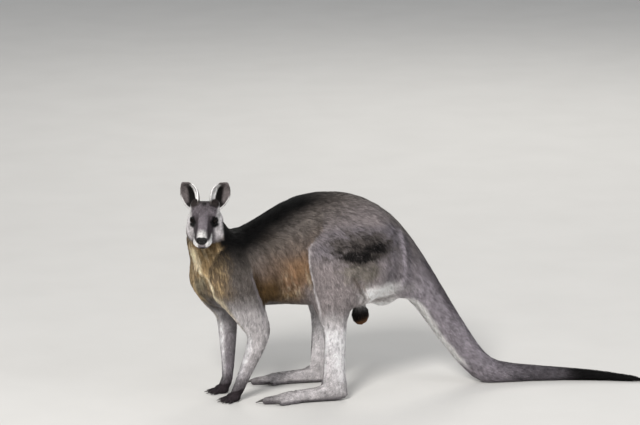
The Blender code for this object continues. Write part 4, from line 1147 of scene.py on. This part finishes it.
# The corners of a hair: two at its root, two at its bend, one at its tip.
HAIR_FACES = np.array([[0, 2, 3], [0, 3, 1], [2, 4, 3]])
HAIR_PATCH = np.array([[0, 0], [1, 0], [0.1, 0.5], [0.9, 0.5], [0.5, 1]]) - 0.5
# Painted shade along each hair from root to tip: darkest at the root, a little lighter than its colour at the
# tip.
ROOT_SHADE_ALONG_HAIR = np.array([0.60, 0.60, 0.98, 0.98, 1.15])
SIDEWAYS = np.array([-0.35, 0.35, -0.35, 0.35, 0])[None, :, None]
BACKWARD = np.array([-0.35, -0.35, 0, 0, 0.25])[None, :, None]


def strands_on(data):
    """The roots of all the hairs, with what the skin holds at each."""
    triangles = read(data.mesh.loops, "vertex_index", 1, np.int32).reshape(-1, 3)
    uvs = read(data.mesh.uv_layers["OFBake"].uv, "vector", 2).reshape(-1, 3, 2).astype(float)
    which, weights = roots(data, triangles)

    def at(values):
        return np.einsum("nk,nk...->n...", weights, values[triangles[which]])

    root, normal = at(data.points), unit(at(data.normals))
    depth, length, spacing = at(data.coat).T
    nearest = triangles[which][np.arange(len(which)), weights.argmax(axis=1)]
    colour = markings(at(data.share), at(data.outer), unit(at(data.facing)), at(data.colour))
    return SimpleNamespace(root=root, normal=normal, lie=along_skin(at(data.lie), normal), depth=depth,
                           length=length, spacing=spacing, ruffle=at(data.ruffle), colour=colour,
                           part=data.part[nearest], uv=np.einsum("nk,nkc->nc", weights, uvs[which]))


def hair_shapes(hairs):
    """Corners and normals of each hair, a narrow blade that leaves the skin, bends and ends in a point.

    Neighbours lean together in locks. Each lock's number and each hair's lift are kept for the shades.
    """
    count = len(hairs.root)
    pull, hairs.lock = clump_pull(hairs.root, hairs.normal, LOCK_SIZE, 40)
    fine_pull, hairs.fine_lock = clump_pull(hairs.root, hairs.normal, FINE_LOCK_SIZE, 80)
    across = np.cross(hairs.normal, hairs.lie)
    turn = 0.16 * noise(hairs.root, 0.05, 9) + 0.14 * noise(hairs.root, 0.014, 10)
    turn += 0.09 * random.standard_normal(count)
    turn = (np.clip(turn, -0.5, 0.5) + 1.3 * hairs.ruffle * noise(hairs.root, 0.022, 12))[:, None]
    heading = unit(hairs.lie * np.cos(turn) + across * np.sin(turn))
    length = hairs.length * random.uniform(0.65, 1.15, count) * (1 + 0.15 * (hairs.lock - 0.5))
    long_coat = np.clip(length / 0.020, 0.2, 1)[:, None]
    heading = unit(heading + (pull * 17 + fine_pull * 30) * long_coat)
    across = np.cross(hairs.normal, heading)
    hairs.lift = random.random(count)
    rise = hairs.depth * (0.50 + 0.55 * hairs.lift)
    roll = np.clip(random.normal(0, 0.45, count), -0.9, 0.9)[:, None]
    flat = across * np.cos(roll) + hairs.normal * np.sin(roll)
    width = hairs.spacing * random.uniform(0.45, 0.80, count)

    wide = flat * width[:, None]
    along, out = heading * length[:, None], hairs.normal * rise[:, None]
    low = hairs.root - hairs.normal * ROOT_DEPTH
    bend = hairs.root + along * 0.48 + out * 0.88
    corners = np.stack([low - wide * 0.5, low + wide * 0.5, bend - wide * 0.42, bend + wide * 0.42,
                        hairs.root + along + out], axis=1)
    corners[:, :, 2] = np.maximum(corners[:, :, 2], COAT_FLOOR_GAP)
    soft = hairs.normal[:, None] + across[:, None] * (SIDEWAYS + 0.5 * np.sin(roll)[:, None])
    return corners, unit(soft + heading[:, None] * BACKWARD)


def hair_shades(hairs):
    """The colour at each corner: painted shade towards the roots and on hairs that lie low, paler tips, and
    locks and single hairs that differ.
    """
    count, brightness = len(hairs.root), hairs.colour.mean(axis=1)
    own = 1 + 0.12 * random.standard_normal(count)
    own += 0.40 * (hairs.lock - 0.5) + 0.32 * (hairs.fine_lock - 0.5)
    # The lift term gives hairs that lie lower painted shade.
    own += 0.24 * strand_shade(hairs.root, hairs.part) + 0.18 * (hairs.lift - 0.5)
    grizzle = random.random(count)
    own *= np.where(grizzle < 0.08, 1.38, np.where(grizzle > 0.88, 0.66, 1.0))
    own = np.clip(own, 0.35, 1.9) * (0.86 + 0.16 * ramp(brightness, 0.25, 0.60))
    steps = ROOT_SHADE_ALONG_HAIR + (1.08 - ROOT_SHADE_ALONG_HAIR) * 0.8 * ramp(brightness, 0.2, 0.8)[:, None]
    return np.clip(hairs.colour[:, None, :] * own[:, None, None] * steps[:, :, None], 0, 0.98)


def grow_coat(data):
    """All the hairs of the coat, as one piece for each part of the body."""
    strands = strands_on(data)
    corners, soft = hair_shapes(strands)
    shades = hair_shades(strands)
    spots = np.clip(strands.uv[:, None] + HAIR_PATCH[None] * UV_PATCH, UV_MARGIN, 1 - UV_MARGIN)
    for name, (slot, *starts) in COAT_PIECES.items():
        chosen = named(strands.part, *starts) > 0
        if name.startswith("coat_belly"):
            chosen &= (strands.root[:, 1] < 0) == name.endswith("left")
        index = np.flatnonzero(chosen)
        corner_of = (np.arange(len(index))[:, None, None] * 5 + HAIR_FACES[None]).reshape(-1, 3)
        mesh = mesh_from(name, corners[index].reshape(-1, 3), corner_of)
        uvs = spots[index].reshape(-1, 2)[corner_of.ravel()]
        mesh.uv_layers.new(name="OFBake").uv.foreach_set("vector", uvs.astype(np.float32).ravel())
        set_attribute(mesh, "Coat", "FLOAT_COLOR", shades[index].reshape(-1, 3))
        mesh.normals_split_custom_set_from_vertices(soft[index].reshape(-1, 3).tolist())
        add(name, mesh, COAT_LOOK)


def finish_skin(data):
    """Adds what the skin's material reads: bare skin, colour and a place drawn out along the coat."""
    head = to_head(data.points)
    on_head = named(data.part, "head", "nose")
    bare = [nose_pad(head) * on_head]
    for side in SIDES:
        radius, opening = eye_opening(head, side)[:2]
        bare.append(ramp(opening, 1.24, 1.16) * ramp(radius, 0.0190, 0.0170) * on_head)
    above = head[:, 2] - mouth_height(head[:, 0])
    bare.append(ramp(head[:, 0], 0.045, 0.060) * ramp(np.abs(above), 0.0024, 0.0014) * on_head)
    soles = named(data.part, "foot", "hand") * ramp(data.normals[:, 2], -0.5, -0.8)
    soles *= ramp(data.points[:, 2], 0.012, 0.006)
    bare.append(soles)
    data.bare = np.clip(np.maximum.reduce(bare), 0, 1)
    data.colour = data.colour * (1 - soles[:, None]) + SKIN_DARK * soles[:, None]
    centres = np.array([middle(name) for name in FLESH])[data.part]
    local = data.points - centres
    along = np.sum(local * data.lie, axis=1, keepdims=True)
    set_attribute(data.mesh, "fur_at", "FLOAT_VECTOR", local - 0.82 * along * data.lie)
    set_attribute(data.mesh, "bare", "FLOAT", data.bare)
    set_attribute(data.mesh, "Coat", "FLOAT_COLOR", data.colour)


skin_data = make_skin()
unwrap(skin_data.mesh)
finish_skin(skin_data)
skin = add("skin", skin_data.mesh, SKIN_LOOK)
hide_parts(*FLESH)
grow_coat(skin_data)


# ---- Eyes -------------------------------------------------------------------------------------
def eye_material():
    """Almost black, with a dark brown ring and a clear wet layer over it."""
    made, tree, shader = new_material("eye")
    iris = attribute(tree, "iris").outputs["Vector"]
    split = tree.nodes.new("ShaderNodeSeparateXYZ")
    tree.links.new(iris, split.inputs[0])
    far = split.outputs["Z"]
    rays = grain(tree, iris, -0.03, 0.03, Scale=38.0, Detail=3.0)
    place = math_node(tree, "ADD", far, rays)
    colour = colour_ramp(tree, place, (0.38, (0.0010, 0.0008, 0.0008)), (0.44, (0.004, 0.002, 0.0015)),
                         (0.62, (0.007, 0.004, 0.0025)), (0.80, (0.003, 0.002, 0.0015)),
                         (0.95, (0.004, 0.003, 0.003)))
    tree.links.new(colour, shader.inputs["Base Color"])
    set_inputs(shader, Roughness=0.25, Specular_IOR_Level=0.05)
    set_inputs(shader, Coat_Weight=0.3, Coat_IOR=1.36, Coat_Roughness=0.02)
    return made


EYE_BULGE, IRIS_REACH = 0.0009, math.radians(60)


def tube_faces(start, rings, segments):
    """Triangles between rings of points that follow each other."""
    faces = []
    for i in range(rings - 1):
        for j in range(segments):
            a, b = start + i * segments + j, start + i * segments + (j + 1) % segments
            faces += [(a, b, b + segments), (a, b + segments, a + segments)]
    return faces


def make_eye(side, name):
    """The front of a ball, with a bulge in its middle and a pupil wider than high."""
    look, corner, top = (v @ HEAD_AXES for v in eye_frame(side)[1:])
    segments, rings = 40, 28
    points, place = [look * (EYE_RADIUS + EYE_BULGE)], [(0.0, 0.0, 0.0)]
    for i in range(1, rings + 1):
        polar = math.pi * 0.62 * i / rings
        bulge = EYE_BULGE * max(0.0, math.cos(min(polar / math.radians(44), 1) * math.pi / 2))
        for j in range(segments):
            turn = 2 * math.pi * j / segments
            across, high = math.cos(turn), math.sin(turn)
            direction = look * math.cos(polar) + (corner * across + top * high) * math.sin(polar)
            points.append(direction * (EYE_RADIUS + bulge))
            far = polar / IRIS_REACH * math.hypot(across * 0.86, high * 1.12)
            place.append((polar * across, polar * high, far))
    faces = [(0, 1 + j, 1 + (j + 1) % segments) for j in range(segments)]
    faces += [face[::-1] for face in tube_faces(1, rings, segments)]
    ball = f"eye_{name[4:]}"
    mesh = mesh_from(name, np.array(points) + middle(ball), np.array(faces))
    set_attribute(mesh, "iris", "FLOAT_VECTOR", np.array(place))
    piece = add(name, mesh, EYE_LOOK)
    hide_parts(ball)


EYE_LOOK = eye_material()
make_eye(1, "orb_left")
make_eye(-1, "orb_right")


# ---- Whiskers and lashes ------------------------------------------------------------------------
def hair_material():
    """Whiskers: the painted colour with a slight grain."""
    made, tree, shader = new_material("hair")
    shaded(tree, shader, grain(tree, place_in(tree), 0.7, 1.3, Scale=300.0))
    set_inputs(shader, Roughness=0.4)
    return made


def hair_points(root, out, droop, length, thick):
    """A tapering three-sided hair that leaves the skin and droops."""
    side = unit(np.cross(out, droop))
    over = np.cross(side, out)
    rings, points = 6, []
    for i in range(rings):
        t = i / (rings - 1)
        centre = root + out * length * (t - 0.04) + droop * length * 0.35 * t * t
        for k in range(3):
            turn = 2 * math.pi * k / 3
            points.append(centre + (side * math.cos(turn) + over * math.sin(turn)) * thick * (1 - 0.92 * t))
    return points, tube_faces(0, rings, 3)


THICK_HAIR, THIN_HAIR = 0.00022, 0.00018


def make_hairs(data):
    """Whiskers on lips, cheeks and brows, and lashes on the lids' edges."""
    close = np.flatnonzero(near_head(data.points) < FACE_REACH)
    head, skin_points, skin_normals = to_head(data.points[close]), data.points[close], data.normals[close]
    hairs = []

    def grow(target, lean, length, thick):
        nearest = np.argmin(np.sum((head - target) ** 2, axis=1))
        lean = np.array(lean) @ HEAD_AXES + 0.08 * random.standard_normal(3)
        out = unit(skin_normals[nearest] * 0.8 + lean)
        hairs.append((skin_points[nearest], out, -Z, length * random.uniform(0.8, 1.15), thick, BLACK))

    for side in SIDES:
        for row in range(4):
            for place in range(6):
                target = (0.068 + 0.0072 * place + 0.003 * (row % 2), 0.035 * side, -0.004 - 0.0048 * row)
                grow(target, (-0.55, 0.5 * side, -0.1), 0.030 - 0.0022 * place, THICK_HAIR)
        for place in range(3):
            grow((0.022 + 0.006 * place, 0.030 * side, 0.040), (-0.3, 0.3 * side, 0.9), 0.020, THIN_HAIR)
            grow((-0.005, 0.060 * side, -0.030 - 0.006 * place), (-0.6, 0.5 * side, -0.1), 0.022, THIN_HAIR)
        centre, look, corner, top = eye_frame(side)
        for lid, number, length in ((1, 26, 0.0085), (-1, 14, 0.0045)):
            for k in range(number):
                a = math.radians(-50 + 96 * k / (number - 1))
                b = lid * LID_HALF_HEIGHT * (1.0 if lid > 0 else 0.90)
                b *= math.sqrt(max(0.05, 1 - (a / LID_HALF_WIDTH) ** 2))
                level = look * math.cos(a) + corner * math.sin(a)
                aim = level * math.cos(b) + top * math.sin(b)
                out = unit(aim * 0.9 + top * lid * 0.55 - corner * 0.25 + 0.05 * random.standard_normal(3))
                start = from_head(centre + aim * (EYE_RADIUS + 0.0010))
                full = length * random.uniform(0.8, 1.15)
                hairs.append((start, out @ HEAD_AXES, Z * lid, full, THICK_HAIR, BLACK * 0.6))

    points, faces, shades = [], [], []
    for *shape, shade in hairs:
        own_points, own_faces = hair_points(*shape)
        faces += [[len(points) + v for v in face] for face in own_faces]
        points += own_points
        shades += [shade] * len(own_points)
    mesh = mesh_from("whiskers", np.array(points), np.array(faces))
    set_attribute(mesh, "Coat", "FLOAT_COLOR", np.array(shades))
    add("whiskers", mesh, hair_material())


make_hairs(skin_data)


# ---- Claws ------------------------------------------------------------------------------------
def claw_material():
    """Dark horn with a grain along its length."""
    made, tree, shader = new_material("claw")
    stretch = texture(tree, "ShaderNodeMapping", place_in(tree), Scale=(0.15, 1, 1))
    shade = grain(tree, stretch.outputs["Vector"], 0.6, 1.5, Scale=900.0, Detail=3.0)
    shaded(tree, shader, shade)
    set_inputs(shader, Roughness=0.33)
    bumped(tree, shader, shade, 0.3, 0.0003)
    return made


def make_claws():
    """Each claw follows its solid's own middle line, and its root reaches into the toe."""
    names = [name for name in nodes if name.startswith("claw")]
    points, faces, shades = [], [], []
    segments, rings = 14, 12
    for name in names:
        own = np.array([v.co for v in nodes[name].data.vertices])
        centre = own.mean(axis=0)
        axis = np.linalg.svd(own - centre)[2][0]
        axis = axis if axis[0] < 0 else -axis
        along = (own - centre) @ axis
        low, high = along.min(), along.max()
        reach = high - low
        tip = own[along > high - 0.12 * reach].mean(axis=0)
        thick = own[along < low + 0.45 * reach]
        base = thick.mean(axis=0)
        side = unit(np.cross(Z, axis))
        over = np.cross(axis, side)
        half_wide = np.ptp(thick @ side) / 2
        half_high = np.ptp(thick @ over) / 2
        start = len(points)
        for i in range(rings):
            t = i / (rings - 1)
            line = base + (tip - base) * (t * 1.55 - 0.55)
            line = line + over * 0.10 * reach * (0.25 - (t - 0.5) ** 2)
            size = max(0.05, 1 - 0.93 * max(0.0, t - 0.1) ** 1.5) * 0.98
            for j in range(segments):
                turn = 2 * math.pi * j / segments
                up = math.sin(turn) if math.sin(turn) > 0 else 0.8 * math.sin(turn)
                points.append(line + side * half_wide * size * math.cos(turn) + over * half_high * size * up)
                shades.append(CLAW_DARK * (0.8 + 0.8 * t))
        faces += tube_faces(start, rings, segments)
        for first, order in ((start, -1), (start + (rings - 1) * segments, 1)):
            for j in range(1, segments - 1):
                faces.append((first, first + j, first + j + 1)[::order])
    points = np.array(points)
    points[:, 2] = np.maximum(points[:, 2], FLOOR_GAP)
    mesh = mesh_from("claws", points, np.array(faces))
    set_attribute(mesh, "Coat", "FLOAT_COLOR", np.array(shades))
    piece = add("claws", mesh, claw_material())
    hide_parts(*names)


make_claws()


# ---- Studio -----------------------------------------------------------------------------------
def floor():
    """A wide pale floor with faint clouds in its colour."""
    made, tree, shader = new_material("floor")
    clouds = texture(tree, "ShaderNodeTexNoise", place_in(tree), Scale=3.0, Detail=4.0)
    colour = colour_ramp(tree, clouds.outputs["Fac"], (0, (0.60, 0.59, 0.57)), (1, (0.66, 0.65, 0.63)))
    tree.links.new(colour, shader.inputs["Base Color"])
    set_inputs(shader, Roughness=0.9)
    mesh = bpy.data.meshes.new("floor")
    mesh.from_pydata([(-40, -40, 0), (40, -40, 0), (40, 60, 0), (-40, 60, 0)], [], [(0, 1, 2, 3)])
    mesh.materials.append(made)
    obj = bpy.data.objects.new("floor", mesh)
    scene.collection.objects.link(obj)


def light(name, place, size, power, colour):
    lamp = bpy.data.lights.new(name, "AREA")
    lamp.shape = "DISK"
    lamp.size, lamp.energy, lamp.color = size, power, colour
    obj = bpy.data.objects.new(name, lamp)
    obj.location = place
    obj.rotation_mode = "QUATERNION"
    obj.rotation_quaternion = (Vector((0, 0, 0.4)) - Vector(place)).to_track_quat("-Z", "Y")
    scene.collection.objects.link(obj)


def sky():
    world = bpy.data.worlds.new("studio")
    world.use_nodes = True
    background = world.node_tree.nodes["Background"]
    set_inputs(background, Color=(0.95, 0.97, 1.0, 1), Strength=0.46)
    scene.world = world


SENSOR_WIDTH = 36
# How wide the view is at the animal, and how far above the drawn frame's origin it is aimed, in metres.
VIEW_WIDTH, AIM_HEIGHT = 2.461538, 0.686538


def camera():
    """Looks from the animal's left, a little from in front and above."""
    turn, tilt, distance = math.radians(-12), math.radians(15), 14.0
    back = Vector((math.sin(turn) * math.cos(tilt), -math.cos(turn) * math.cos(tilt), math.sin(tilt)))
    data = bpy.data.cameras.new("camera")
    data.sensor_width = SENSOR_WIDTH
    data.lens = SENSOR_WIDTH * distance / VIEW_WIDTH
    obj = bpy.data.objects.new("camera", data)
    scene.collection.objects.link(obj)
    obj.location = back * distance - Vector(DRAWN)
    up = Vector((0, 0, 1)) - back * back.z
    raised = math.atan(AIM_HEIGHT / distance)
    ahead = -back * math.cos(raised) + up.normalized() * math.sin(raised)
    obj.rotation_mode = "QUATERNION"
    obj.rotation_quaternion = ahead.to_track_quat("-Z", "Y")
    scene.camera = obj


floor()
light("key", (-3.8, -6.4, 5.6), 2.4, 790, (1.0, 0.98, 0.95))
light("fill", (6.5, -5.0, 4.0), 4.0, 128, (0.95, 0.97, 1.0))
light("rim", (2.0, 6.0, 5.0), 4.0, 180, (1.0, 0.97, 0.92))
sky()
camera()
scene.view_settings.view_transform = "Standard"
